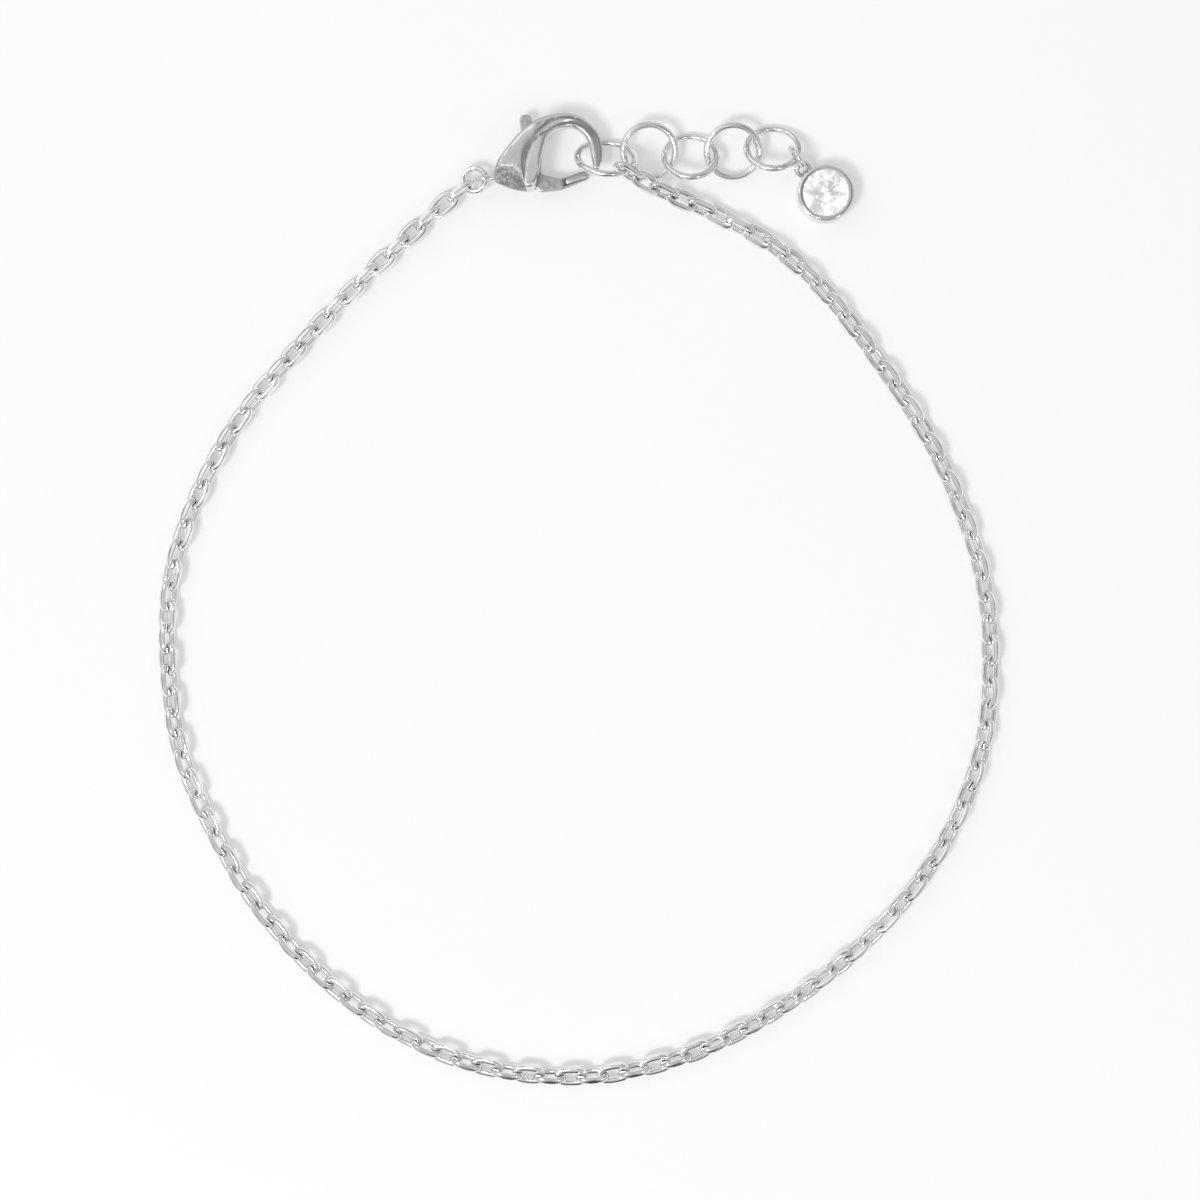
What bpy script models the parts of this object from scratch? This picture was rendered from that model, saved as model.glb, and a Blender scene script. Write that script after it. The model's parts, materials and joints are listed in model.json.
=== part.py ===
"""A fine cable chain bracelet, closed and lying flat, with a lobster clasp, an extender and a stone drop.

It lies on the plane z = 0 with the clasp towards +Y and the drop to its right. Every size is in metres,
written as millimetres times MM. The clasp is laid out from the tip of its tail, the extender and the drop
follow from the clasp's hook, and the chain runs from the jump ring at the tail to the first extender ring.
"""

import math

import bmesh
import bpy
import numpy as np
from mathutils import Matrix, Vector
from mathutils.geometry import convex_hull_2d

MM = 0.001

# Cable chain: oval links, each turned a quarter turn from the last
LINK_LENGTH = 2.18 * MM
LINK_WIDTH = 1.42 * MM
LINK_WIRE = 0.42 * MM
LINK_WIRE_SIDES = 5
LINK_JOINT_GAP = 0.03 * MM
# Corners of a quarter of a link's wire, as shares of its half length and half width
LINK_QUARTER = ((1.0, 0.40), (0.76, 0.95), (0.0, 1.0))

# Jump ring between the clasp's tail eye and the chain
JUMP_RING_DIAMETER = 1.9 * MM
JUMP_RING_WIRE = 0.38 * MM
JUMP_RING_TILT = 15
JUMP_RING_TURN = 180
JUMP_RING_CHAIN_ANGLE = 41

# Extender: a larger first ring that the clasp hooks, then four alike
FIRST_RING_DIAMETER = 4.2 * MM
RING_DIAMETER = 3.85 * MM
RING_WIRE = 0.44 * MM
RING_CORNERS = 16
SMALL_RING_CORNERS = 12
RING_WIRE_SIDES = 6
CHAIN_ANGLE_ON_FIRST_RING = -46

# Clasp: cast body, hook and tail eye
CLASP_TAIL_X = -5.62 * MM
CLASP_TAIL_Y = 26.6 * MM
CLASP_LENGTH = 7.12 * MM
CLASP_WIDTH = 5.0 * MM
CLASP_THICKNESS = 2.5 * MM
TAIL_EYE_DIAMETER = 1.32 * MM
TAIL_EYE_WIRE = 0.36 * MM
TAIL_EYE_HEIGHT = 1.05 * MM
TAIL_EYE_INSET = 0.16 * MM

# Clasp lever: a plate between the body's cheeks, turning on a fixed pin
LEVER_THICKNESS = 0.48 * MM
LEVER_DROP = 0.3 * MM
LEVER_HUB_DIAMETER = 1.3 * MM
LEVER_TRAVEL = 18
PIN_DIAMETER = 0.5 * MM
PIN_SEAT = 0.35 * MM
PIN_CORNERS = 12
CLEARANCE = 0.1 * MM

# Drop: bezel cup with an eye, a small jump ring and a round brilliant stone
SETTING_DIAMETER = 3.7 * MM
SETTING_HEIGHT = 1.55 * MM
SETTING_BASE = 0.25 * MM
BEZEL_WALL = 0.3 * MM
SETTING_CORNERS = 24
SETTING_EYE_DIAMETER = 1.22 * MM
SETTING_EYE_WIRE = 0.34 * MM
SETTING_EYE_HEIGHT = 0.9 * MM
SETTING_EYE_SINK = 0.12 * MM
DROP_RING_DIAMETER = 2.0 * MM
DROP_RING_WIRE = 0.32 * MM
DROP_RING_RISE = 30
DROP_RING_YAW = -10
DROP_DIRECTION = -48
STONE_GAP = 0.05 * MM
STONE_CROWN = 0.45 * MM
STONE_PAVILION = 1.05 * MM
STONE_GIRDLE = 0.08 * MM
# Tiers of the stone's corners. Radius is a share of the girdle's, height a share of STONE_CROWN or of
# STONE_PAVILION away from the girdle, and turn a share of the step between corners.
CROWN_TIERS = (
    # corners, radius, height, turn
    (8, 0.56, 1.00, 0.0),
    (8, 0.80, 0.62, 0.5),
    (16, 1.00, 0.00, 0.0),
)
PAVILION_TIERS = (
    # corners, radius, height, turn
    (16, 1.00, 0.00, 0.0),
    (8, 0.42, 0.66, 0.5),
    (1, 0.00, 1.00, 0.0),
)

# The extender's rings, each placed from the one before it. Steps and heights are shares of RING_DIAMETER.
# A positive tilt, in degrees, sets a ring's far side low, and a positive roll its left side high.
EXTENDER = (
    # step_x, step_y, height, tilt, roll
    (0.000, 0.000, 0.438, 50.0, 4.0),
    (0.725, 0.138, 0.286, -13.4, 1.8),
    (0.696, -0.094, 0.301, 33.2, 0.0),
    (0.719, 0.096, 0.262, -19.0, 0.0),
    (0.670, 0.039, 0.309, 34.4, 0.0),
)
# The first ring's centre, past the clasp's tail as shares of CLASP_LENGTH and CLASP_WIDTH
FIRST_RING_PLACE = (1.036, 0.418)
# The setting's eye lies past the last ring's wire by a share of DROP_RING_DIAMETER
DROP_RING_REACH = 0.31344
DROP_FROM_LAST_RING = -40.282

# Sections of the clasp from tail to hook tip. Edges are shares of CLASP_LENGTH and CLASP_WIDTH from the
# tail's corner, depth is a share of CLASP_THICKNESS.
CLASP_SECTIONS = (
    # outer_x, outer_y, inner_x, inner_y, depth
    (0.004, 0.195, 0.004, 0.125, 0.30),
    (0.030, 0.366, 0.092, 0.075, 0.56),
    (0.092, 0.484, 0.202, 0.026, 0.84),
    (0.165, 0.615, 0.284, 0.009, 1.00),
    (0.239, 0.732, 0.358, 0.000, 1.00),
    (0.312, 0.824, 0.404, 0.079, 1.00),
    (0.385, 0.898, 0.425, 0.236, 1.00),
    (0.486, 0.961, 0.448, 0.432, 0.94),
    (0.587, 0.994, 0.491, 0.641, 0.80),
    (0.698, 1.000, 0.578, 0.765, 0.62),
    (0.799, 0.961, 0.716, 0.805, 0.46),
    (0.890, 0.863, 0.814, 0.736, 0.36),
    (0.962, 0.745, 0.856, 0.665, 0.30),
    (1.000, 0.588, 0.882, 0.549, 0.28),
    (1.004, 0.432, 0.896, 0.432, 0.28),
    (0.974, 0.301, 0.914, 0.321, 0.26),
)
SECTION_CORNERS = 10
SECTION_SQUARENESS = 0.8

# Outline of the lever in the same shares: thumb tab, then down past the pivot and out along the gate
LEVER_PIVOT = (0.349, 0.327)
TAB_OUTLINE = (
    (0.413, 0.379), (0.351, 0.955), (0.330, 1.000), (0.261, 0.996), (0.243, 0.948), (0.284, 0.366),
)
ARM_OUTLINE = ((0.303, 0.222), (0.376, 0.066), (0.431, -0.010), (0.615, 0.020))
GATE_OUTLINE = (
    (0.661, 0.039), (0.854, 0.151), (0.880, 0.200), (0.868, 0.258), (0.789, 0.255), (0.716, 0.209),
)
ARM_TOP_OUTLINE = ((0.615, 0.164), (0.445, 0.222))

# The chain's route between its two rings, laid by hand: x, y and the height of its underside
ROUTE = np.array((
    (-8.8, 25.8, 0.0), (-11.1, 23.7, 0.0), (-15.2, 19.8, 0.0), (-18.9, 15.8, 0.0), (-22.3, 11.6, 0.0),
    (-24.9, 6.8, 0.0), (-26.6, 1.5, 0.0), (-26.8, -4.1, 0.0), (-26.0, -9.8, 0.0), (-23.8, -15.1, 0.0),
    (-20.8, -20.1, 0.0), (-16.8, -24.5, 0.0), (-11.9, -28.1, 0.0), (-6.1, -30.4, 0.0), (0.1, -31.0, 0.0),
    (6.1, -29.9, 0.0), (11.7, -27.4, 0.0), (16.6, -24.0, 0.0), (20.8, -20.0, 0.0), (24.1, -15.2, 0.0),
    (26.2, -9.8, 0.0), (26.8, -4.1, 0.0), (26.3, 1.4, 0.0), (24.6, 6.7, 0.0), (22.2, 11.5, 0.0),
    (19.2, 16.0, 0.0), (15.8, 20.3, 0.0), (12.6, 23.1, 0.0), (9.3, 24.9, 0.0), (7.9, 25.6, 0.05),
    (6.5, 26.1, 0.40), (4.5, 26.95, 1.25),
)) * MM
ROUTE_STEPS = 40

# How far the wider links lean from flat along the chain, in degrees, by share of the chain's length
LEANS = (
    # share, lean
    (0.05, 22), (0.15, 38), (0.38, 38), (0.50, 25), (0.62, 38), (0.85, 38), (0.93, 24),
)

# Neighbouring faces that meet at more than this many degrees keep a sharp edge
SHARP_ANGLE = 35
WELD_DISTANCE = 0.001 * MM

SILVER = (0.62, 0.62, 0.63, 1.0)
DARK_SILVER = (0.5, 0.5, 0.51, 1.0)
CLEAR_STONE = (0.93, 0.95, 0.97, 1.0)


def clear_scene():
    """Empties the scene of whatever it starts with."""
    for obj in list(bpy.data.objects):
        bpy.data.objects.remove(obj, do_unlink=True)


def material(name, colour, roughness, metallic):
    """A Principled material of the given colour, roughness and metallic value."""
    made = bpy.data.materials.new(name)
    made.use_nodes = True
    shader = made.node_tree.nodes["Principled BSDF"]
    shader.inputs["Base Color"].default_value = colour
    shader.inputs["Roughness"].default_value = roughness
    shader.inputs["Metallic"].default_value = metallic
    return made


def add_object(name, vertices, faces, parent, place=None):
    """A mesh object with its faces pointing out, set at a place given as a matrix."""
    mesh = bpy.data.meshes.new(name)
    mesh.from_pydata([tuple(vertex) for vertex in vertices], [], [tuple(face) for face in faces])
    shell = bmesh.new()
    shell.from_mesh(mesh)
    bmesh.ops.recalc_face_normals(shell, faces=shell.faces)
    shell.to_mesh(mesh)
    shell.free()
    mesh.shade_smooth()
    mesh.set_sharp_from_angle(angle=math.radians(SHARP_ANGLE))
    obj = bpy.data.objects.new(name, mesh)
    bpy.context.scene.collection.objects.link(obj)
    obj.parent = parent
    obj.matrix_local = place if place is not None else Matrix()
    return obj


def finish(obj, colour, roughness, metallic=1.0):
    """Gives a sub-part its own material."""
    obj.data.materials.append(material(obj.name + "_finish", colour, roughness, metallic))


def boolean(obj, operation, other):
    """Joins another closed mesh to this object, or cuts it away, and leaves the other out of renders."""
    modifier = obj.modifiers.new(f"{operation.lower()}_{other.name}", "BOOLEAN")
    modifier.operation = operation
    modifier.solver = "EXACT"
    modifier.object = other
    other.hide_render = True
    other.display_type = "WIRE"


def smooth_curve(rows, steps):
    """Points on a curve that passes smoothly through every row, with the given steps to each stretch."""
    rows = np.asarray(rows, float)
    padded = np.vstack([2 * rows[0] - rows[1], rows, 2 * rows[-1] - rows[-2]])
    t = np.linspace(0, 1, steps, endpoint=False)[:, None]
    stretches = []
    for before, start, end, after in zip(padded, padded[1:], padded[2:], padded[3:]):
        slope = (end - before) * t
        bend = (2 * before - 5 * start + 4 * end - after) * t**2
        twist = (3 * start - before - 3 * end + after) * t**3
        stretches.append((2 * start + slope + bend + twist) / 2)
    return np.vstack(stretches + [rows[-1:]])


def wire_loop(outline, wire, sides):
    """A wire swept round a closed flat outline: vertices in its own plane, and faces.

    The outline runs anticlockwise. The wire's section has a flat side towards the middle of the loop where
    its number of sides is odd.
    """
    outline = np.asarray(outline, float)
    count = len(outline)
    along = np.roll(outline, -1, axis=0) - outline
    outward = np.stack([along[:, 1], -along[:, 0]], axis=1)
    outward /= np.linalg.norm(outward, axis=1)[:, None]
    before = np.roll(outward, 1, axis=0)
    mitre = (before + outward) / (1 + (before * outward).sum(axis=1))[:, None]
    turn = 2 * np.pi * np.arange(sides) / sides
    flat = outline[:, None, :] + wire / 2 * np.cos(turn)[None, :, None] * mitre[:, None, :]
    height = np.broadcast_to(wire / 2 * np.sin(turn), (count, sides))
    vertices = np.concatenate([flat, height[:, :, None]], axis=2).reshape(-1, 3)
    corner = np.arange(count)[:, None] * sides
    side = np.arange(sides)[None, :]
    next_corner = (corner + sides) % (count * sides)
    next_side = (side + 1) % sides
    rounds = (corner + side, next_corner + side, next_corner + next_side, corner + next_side)
    return vertices, np.stack(rounds, axis=-1).reshape(-1, 4)


def circle(radius, corners):
    """Corners of a circle, anticlockwise."""
    turn = 2 * np.pi * np.arange(corners) / corners
    return radius * np.stack([np.cos(turn), np.sin(turn)], axis=1)


def wire_ring(name, diameter, wire, corners, parent, place):
    """A round ring of the given outer diameter, lying in the XY plane of its place."""
    vertices, faces = wire_loop(circle((diameter - wire) / 2, corners), wire, RING_WIRE_SIDES)
    return add_object(name, vertices, faces, parent, place)


def on_ring(place, diameter, wire, degrees):
    """The point on a ring's wire at an angle in its own plane, and the wire's direction there."""
    radius = (diameter - wire) / 2
    turn = math.radians(degrees)
    point = place @ Vector((radius * math.cos(turn), radius * math.sin(turn), 0))
    direction = place.to_3x3() @ Vector((-math.sin(turn), math.cos(turn), 0))
    return point, direction


def clasp_point(share):
    """A point of the clasp in plan, from its shares of the clasp's length and width."""
    return Vector((CLASP_TAIL_X + share[0] * CLASP_LENGTH, CLASP_TAIL_Y + share[1] * CLASP_WIDTH))


def prism(name, outline, low, high, parent, place=None):
    """An upright prism over a flat outline, between two heights."""
    count = len(outline)
    vertices = [(x, y, low) for x, y in outline] + [(x, y, high) for x, y in outline]
    sides = [(i, (i + 1) % count, count + (i + 1) % count, count + i) for i in range(count)]
    ends = [tuple(reversed(range(count))), tuple(range(count, 2 * count))]
    return add_object(name, vertices, sides + ends, parent, place)


def swept_outline(outline, margin):
    """The outline that a plate covers as it turns through the lever's travel, with a margin all round."""
    rim = [Vector(corner) for corner in circle(margin, PIN_CORNERS)]
    reached = []
    for degrees in (0, LEVER_TRAVEL / 2, LEVER_TRAVEL):
        turn = Matrix.Rotation(math.radians(degrees), 2)
        for corner in outline:
            reached += [turn @ corner + step for step in rim]
    return [reached[i] for i in convex_hull_2d(reached)]


def lever_heights():
    """The underside and top of the lever's plate."""
    middle = CLASP_THICKNESS / 2 - LEVER_DROP
    return middle - LEVER_THICKNESS / 2, middle + LEVER_THICKNESS / 2


def from_pivot(shares):
    """Outline points about the pivot."""
    pivot = clasp_point(LEVER_PIVOT)
    return [clasp_point(share) - pivot for share in shares]


def tail_eye_centre():
    """The centre of the eye at the clasp's tail."""
    outer_x, outer_y, inner_x, inner_y, _ = CLASP_SECTIONS[0]
    tail = clasp_point(((outer_x + inner_x) / 2, (outer_y + inner_y) / 2))
    return Vector((tail.x + TAIL_EYE_INSET - TAIL_EYE_DIAMETER / 2, tail.y, TAIL_EYE_HEIGHT))


def clasp_shell():
    """The clasp's body and hook as one loft: a squarish ten-cornered section carried from tail to tip."""
    rows = smooth_curve(CLASP_SECTIONS, 1)
    turn = 2 * np.pi * np.arange(SECTION_CORNERS) / SECTION_CORNERS
    across = np.sign(np.cos(turn)) * np.abs(np.cos(turn)) ** SECTION_SQUARENESS
    height = np.sign(np.sin(turn)) * np.abs(np.sin(turn)) ** SECTION_SQUARENESS
    height /= height.max()
    vertices = []
    for outer_x, outer_y, inner_x, inner_y, depth in rows:
        outer, inner = clasp_point((outer_x, outer_y)), clasp_point((inner_x, inner_y))
        middle, reach = (outer + inner) / 2, (outer - inner) / 2
        for share, rise in zip(across, height):
            flat = middle + reach * share
            vertices.append((flat.x, flat.y, CLASP_THICKNESS / 2 * (1 + depth * rise)))
    faces = []
    for start in range(0, len(vertices) - SECTION_CORNERS, SECTION_CORNERS):
        for j in range(SECTION_CORNERS):
            k = (j + 1) % SECTION_CORNERS
            faces.append((start + j, start + k, start + SECTION_CORNERS + k, start + SECTION_CORNERS + j))
    faces.append(range(SECTION_CORNERS))
    faces.append(range(len(vertices) - SECTION_CORNERS, len(vertices)))
    return vertices, faces


def build_clasp_body(root):
    """Cast body with hook, slot for the lever, pivot pin and tail eye, all one piece."""
    body = add_object("clasp_body", *clasp_shell(), root)
    pivot = clasp_point(LEVER_PIVOT)
    at_pivot = Matrix.Translation((pivot.x, pivot.y, 0))
    low, high = lever_heights()
    hub = [Vector(corner) for corner in circle(LEVER_HUB_DIAMETER / 2, PIN_CORNERS)]
    for name, outline in (
        ("tab_slot", from_pivot(TAB_OUTLINE)),
        ("gate_slot", from_pivot(ARM_OUTLINE + ARM_TOP_OUTLINE) + hub),
    ):
        slot = swept_outline(outline, CLEARANCE)
        boolean(body, "DIFFERENCE", prism(name, slot, low - CLEARANCE, high + CLEARANCE, root, at_pivot))
    pin_reach = CLEARANCE + PIN_SEAT
    pin_rim = circle(PIN_DIAMETER / 2, PIN_CORNERS)
    pin = prism("pin", pin_rim, low - pin_reach, high + pin_reach, root, at_pivot)
    boolean(body, "UNION", pin)
    upright = Matrix.Translation(tail_eye_centre()) @ Matrix.Rotation(math.radians(90), 4, "X")
    eye = wire_ring("tail_eye", TAIL_EYE_DIAMETER, TAIL_EYE_WIRE, SMALL_RING_CORNERS, root, upright)
    boolean(body, "UNION", eye)
    finish(body, SILVER, 0.18)
    return body


def build_clasp_lever(root):
    """Gate and thumb tab in one plate, with its origin on the pivot."""
    pivot = clasp_point(LEVER_PIVOT)
    hinge = bpy.data.objects.new("lever_pivot", None)
    bpy.context.scene.collection.objects.link(hinge)
    hinge.parent = root
    hinge.location = (pivot.x, pivot.y, 0)
    low, high = lever_heights()
    outline = from_pivot(TAB_OUTLINE + ARM_OUTLINE + GATE_OUTLINE + ARM_TOP_OUTLINE)
    lever = prism("clasp_lever", outline, low, high, hinge)
    hub = prism("lever_hub", circle(LEVER_HUB_DIAMETER / 2, PIN_CORNERS), low, high, hinge)
    boolean(lever, "UNION", hub)
    hole_rim = circle(PIN_DIAMETER / 2 + CLEARANCE, PIN_CORNERS)
    hole = prism("lever_hole", hole_rim, low - CLEARANCE, high + CLEARANCE, hinge)
    boolean(lever, "DIFFERENCE", hole)
    finish(lever, DARK_SILVER, 0.25)
    return lever


def jump_ring_place():
    """Where the jump ring sits: through the tail eye, sloping down towards the chain."""
    radius = (JUMP_RING_DIAMETER - JUMP_RING_WIRE) / 2
    turned = Matrix.Rotation(math.radians(JUMP_RING_TURN), 4, "Z")
    sloped = turned @ Matrix.Rotation(math.radians(JUMP_RING_TILT), 4, "Y")
    in_eye = sloped.to_3x3() @ Vector((-radius, 0, 0))
    return Matrix.Translation(tail_eye_centre() - in_eye) @ sloped


def extender_places():
    """Where each extender ring sits."""
    first = clasp_point(FIRST_RING_PLACE)
    x, y = first
    places = []
    for step_x, step_y, height, tilt, roll in EXTENDER:
        x += step_x * RING_DIAMETER
        y += step_y * RING_DIAMETER
        centre = Vector((x, y, height * RING_DIAMETER))
        tilted = Matrix.Rotation(math.radians(-tilt), 4, "X") @ Matrix.Rotation(math.radians(roll), 4, "Y")
        places.append(Matrix.Translation(centre) @ tilted)
    return places


def build_extender(root):
    """Five wire rings, each through the next."""
    rings = []
    for number, place in enumerate(extender_places(), start=1):
        diameter = FIRST_RING_DIAMETER if number == 1 else RING_DIAMETER
        name = f"extender_ring_{number}"
        ring = wire_ring(name, diameter, RING_WIRE, RING_CORNERS, root, place)
        finish(ring, SILVER, 0.15)
        rings.append(ring)
    return rings


def link_outline():
    """The ten corners of a link's wire, anticlockwise, with a short straight edge across each end."""
    half_length = (LINK_LENGTH - LINK_WIRE) / 2
    half_width = (LINK_WIDTH - LINK_WIRE) / 2
    upper = [(half_length * along, half_width * across) for along, across in LINK_QUARTER]
    left = [(-along, across) for along, across in reversed(upper[:-1])]
    lower = [(along, -across) for along, across in reversed(upper + left)]
    return upper + left + lower


def lean_for_ring(direction, wire_direction):
    """The turn about its length that sets a link square across a ring's wire, in degrees."""
    along = direction.normalized()
    side = Vector((0, 0, 1)).cross(along).normalized()
    up = along.cross(side)
    return math.degrees(math.atan2(-wire_direction.dot(side), wire_direction.dot(up)))


def nearest_turn(degrees, target, step):
    """The angle that equals another up to whole steps and lies nearest a target."""
    return degrees + step * round((target - degrees) / step)


def chain_ends():
    """The chain's two end points, inside the rings that hold it, and its end links' turns in degrees."""
    holds = (
        # ring's place, diameter, wire, angle round it, next point of the route, way along the chain
        (jump_ring_place(), JUMP_RING_DIAMETER, JUMP_RING_WIRE, JUMP_RING_CHAIN_ANGLE, ROUTE[0], 1),
        (extender_places()[0], FIRST_RING_DIAMETER, RING_WIRE, CHAIN_ANGLE_ON_FIRST_RING, ROUTE[-1], -1),
    )
    ends, turns = [], []
    for place, diameter, wire, angle, next_point, way in holds:
        point, wire_direction = on_ring(place, diameter, wire, angle)
        onward = Vector(next_point) + Vector((0, 0, LINK_WIDTH / 2)) - point
        slant = onward.normalized().dot(wire_direction)
        squareness = math.sqrt(1 - slant**2)
        reach = CLEARANCE + (wire / 2 + LINK_WIRE / 2 * abs(slant)) / squareness - LINK_JOINT_GAP / 2
        ends.append(point - onward.normalized() * reach)
        turns.append(lean_for_ring(way * onward, wire_direction))
    return ends, turns


def chain_joints():
    """The points where each link meets the next, and every link's turn about its own length in radians."""
    (first, last), (first_turn, last_turn) = chain_ends()
    leans = np.array(LEANS, float)
    start_lean = nearest_turn(first_turn, leans[0, 1] + 90, 180) - 90
    lying = np.column_stack([ROUTE[:, :2], ROUTE[:, 2] + LINK_WIDTH / 2])
    curve = smooth_curve(np.vstack([first, lying, last]), ROUTE_STEPS)
    arc = np.concatenate([[0], np.cumsum(np.linalg.norm(np.diff(curve, axis=0), axis=1))])
    inner_length = LINK_LENGTH - LINK_WIRE * (1 + math.cos(math.pi / LINK_WIRE_SIDES))
    # An odd count, so that the first and last links both stand on edge in their rings
    count = 2 * round((arc[-1] / (inner_length - LINK_JOINT_GAP) - 1) / 2) + 1
    marks = np.linspace(0, arc[-1], count + 1)
    joints = np.stack([np.interp(marks, arc, curve[:, axis]) for axis in range(3)], axis=1)
    standing = np.arange(count) % 2 == 0
    end_lean = nearest_turn(last_turn - 90 * standing[-1], leans[-1, 1], 180)
    shares = np.concatenate([[0], leans[:, 0], [1]])
    degrees = np.concatenate([[start_lean], leans[:, 1], [end_lean]])
    middle = (np.arange(count) + 0.5) / count
    lean = np.interp(middle, shares, degrees)
    # A leaning pair lies lower than one flat link and one on its edge
    at_joint = np.radians(np.interp(np.arange(count + 1) / count, shares, degrees))
    settled = (LINK_WIDTH - LINK_WIRE) / 2 * (1 - np.maximum(abs(np.sin(at_joint)), abs(np.cos(at_joint))))
    settled[[0, -1]] = 0
    joints[:, 2] -= settled
    return joints, np.radians(lean + 90 * standing)


def chain_piece(name, joints, turns, root):
    """A run of links, each touching the next through a small bridge between their inner end faces."""
    outline = link_outline()
    vertices, quads = wire_loop(outline, LINK_WIRE, LINK_WIRE_SIDES)
    along = np.diff(joints, axis=0)
    along /= np.linalg.norm(along, axis=1)[:, None]
    side = np.cross((0, 0, 1), along)
    side /= np.linalg.norm(side, axis=1)[:, None]
    up = np.cross(along, side)
    across = np.cos(turns)[:, None] * side + np.sin(turns)[:, None] * up
    normal = np.cross(along, across)
    frames = np.stack([along, across, normal], axis=1)
    centres = (joints[1:] + joints[:-1]) / 2
    placed = np.einsum("vi,lij->lvj", vertices, frames) + centres[:, None, :]
    count, size = len(centres), len(vertices)

    inner_side = LINK_WIRE_SIDES // 2
    corner = len(outline) - 1
    front_quad = corner * LINK_WIRE_SIDES + inner_side
    back_quad = (len(outline) // 2 - 1) * LINK_WIRE_SIDES + inner_side
    faces = []
    for link in range(count):
        keep = np.ones(len(quads), bool)
        keep[front_quad] = link == count - 1
        keep[back_quad] = link == 0
        faces += (quads[keep] + link * size).tolist()
    points = placed.reshape(-1, 3)
    for link in range(count - 1):
        front = quads[front_quad] + link * size
        back = (quads[back_quad] + (link + 1) * size)[::-1]
        fits = [np.roll(back, shift) for shift in range(4)]
        back = min(fits, key=lambda order: np.linalg.norm(points[front] - points[order], axis=1).sum())
        for i in range(4):
            j = (i + 1) % 4
            faces.append((front[i], front[j], back[j], back[i]))
    chain = add_object(name, points, faces, root)
    finish(chain, SILVER, 0.16)
    return chain


def build_chain(root):
    """The chain in two runs that meet at the middle of its length."""
    joints, turns = chain_joints()
    middle = len(turns) // 2
    return [
        chain_piece("chain_left", joints[: middle + 1], turns[:middle], root),
        chain_piece("chain_right", joints[middle:], turns[middle:], root),
    ]


def build_jump_ring(root):
    """The ring that ties the chain to the clasp."""
    place = jump_ring_place()
    ring = wire_ring("jump_ring", JUMP_RING_DIAMETER, JUMP_RING_WIRE, SMALL_RING_CORNERS, root, place)
    finish(ring, SILVER, 0.15)
    return ring


def drop_place():
    """The drop's frame: its centre on the ground, with X away from the extender."""
    last = extender_places()[-1].translation
    reach = (RING_DIAMETER - RING_WIRE) / 2 + DROP_RING_DIAMETER * DROP_RING_REACH + setting_eye_reach()
    turn = math.radians(DROP_FROM_LAST_RING)
    centre = Vector((last.x + reach * math.cos(turn), last.y + reach * math.sin(turn), 0))
    return Matrix.Translation(centre) @ Matrix.Rotation(math.radians(DROP_DIRECTION), 4, "Z")


def setting_eye_reach():
    """How far the setting's eye lies from the setting's middle."""
    return SETTING_DIAMETER / 2 + SETTING_EYE_DIAMETER / 2 - SETTING_EYE_WIRE / 2 - SETTING_EYE_SINK


def setting_eye_centre():
    """The setting's eye, in the drop's frame."""
    return Vector((-setting_eye_reach(), 0, SETTING_EYE_HEIGHT))


def build_drop_ring(root):
    """The small upright jump ring through the setting's eye and the last extender ring."""
    turned = Matrix.Rotation(math.radians(DROP_RING_YAW), 4, "Z")
    raised = turned @ Matrix.Rotation(math.radians(DROP_RING_RISE), 4, "Y")
    upright = raised @ Matrix.Rotation(math.radians(90), 4, "X")
    radius = (DROP_RING_DIAMETER - DROP_RING_WIRE) / 2
    in_eye = upright.to_3x3() @ Vector((radius, 0, 0))
    place = drop_place() @ Matrix.Translation(setting_eye_centre() - in_eye) @ upright
    ring = wire_ring("drop_ring", DROP_RING_DIAMETER, DROP_RING_WIRE, SMALL_RING_CORNERS, root, place)
    finish(ring, SILVER, 0.15)
    return ring


def seat_radius():
    """The bore that the stone's girdle sits in."""
    return SETTING_DIAMETER / 2 - BEZEL_WALL


def girdle_height():
    """The height of the girdle's lower edge above the ground."""
    return SETTING_BASE + STONE_PAVILION + STONE_GAP


def build_drop_setting(root):
    """A turned bezel cup with a small eye on its rim."""
    wall = SETTING_DIAMETER / 2
    bore = seat_radius()
    soften = BEZEL_WALL / 4
    profile = (
        (0, SETTING_BASE),
        (bore, SETTING_BASE),
        (bore, SETTING_HEIGHT - soften),
        (bore + soften, SETTING_HEIGHT),
        (wall - soften, SETTING_HEIGHT),
        (wall, SETTING_HEIGHT - soften),
        (wall, soften),
        (wall - soften, 0),
        (0, 0),
    )
    edges = [(i, i + 1) for i in range(len(profile) - 1)]
    mesh = bpy.data.meshes.new("drop_setting")
    mesh.from_pydata([(x, 0, z) for x, z in profile], edges, [])
    setting = bpy.data.objects.new("drop_setting", mesh)
    bpy.context.scene.collection.objects.link(setting)
    setting.parent = root
    setting.matrix_local = drop_place()
    screw = setting.modifiers.new("turn", "SCREW")
    screw.steps = SETTING_CORNERS
    screw.render_steps = SETTING_CORNERS
    screw.use_merge_vertices = True
    screw.merge_threshold = WELD_DISTANCE
    screw.use_smooth_shade = False
    raised = Matrix.Rotation(math.radians(DROP_RING_RISE), 4, "Y")
    place = drop_place() @ Matrix.Translation(setting_eye_centre()) @ raised
    eye = wire_ring("setting_eye", SETTING_EYE_DIAMETER, SETTING_EYE_WIRE, SMALL_RING_CORNERS, root, place)
    boolean(setting, "UNION", eye)
    finish(setting, SILVER, 0.15)
    return setting


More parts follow.
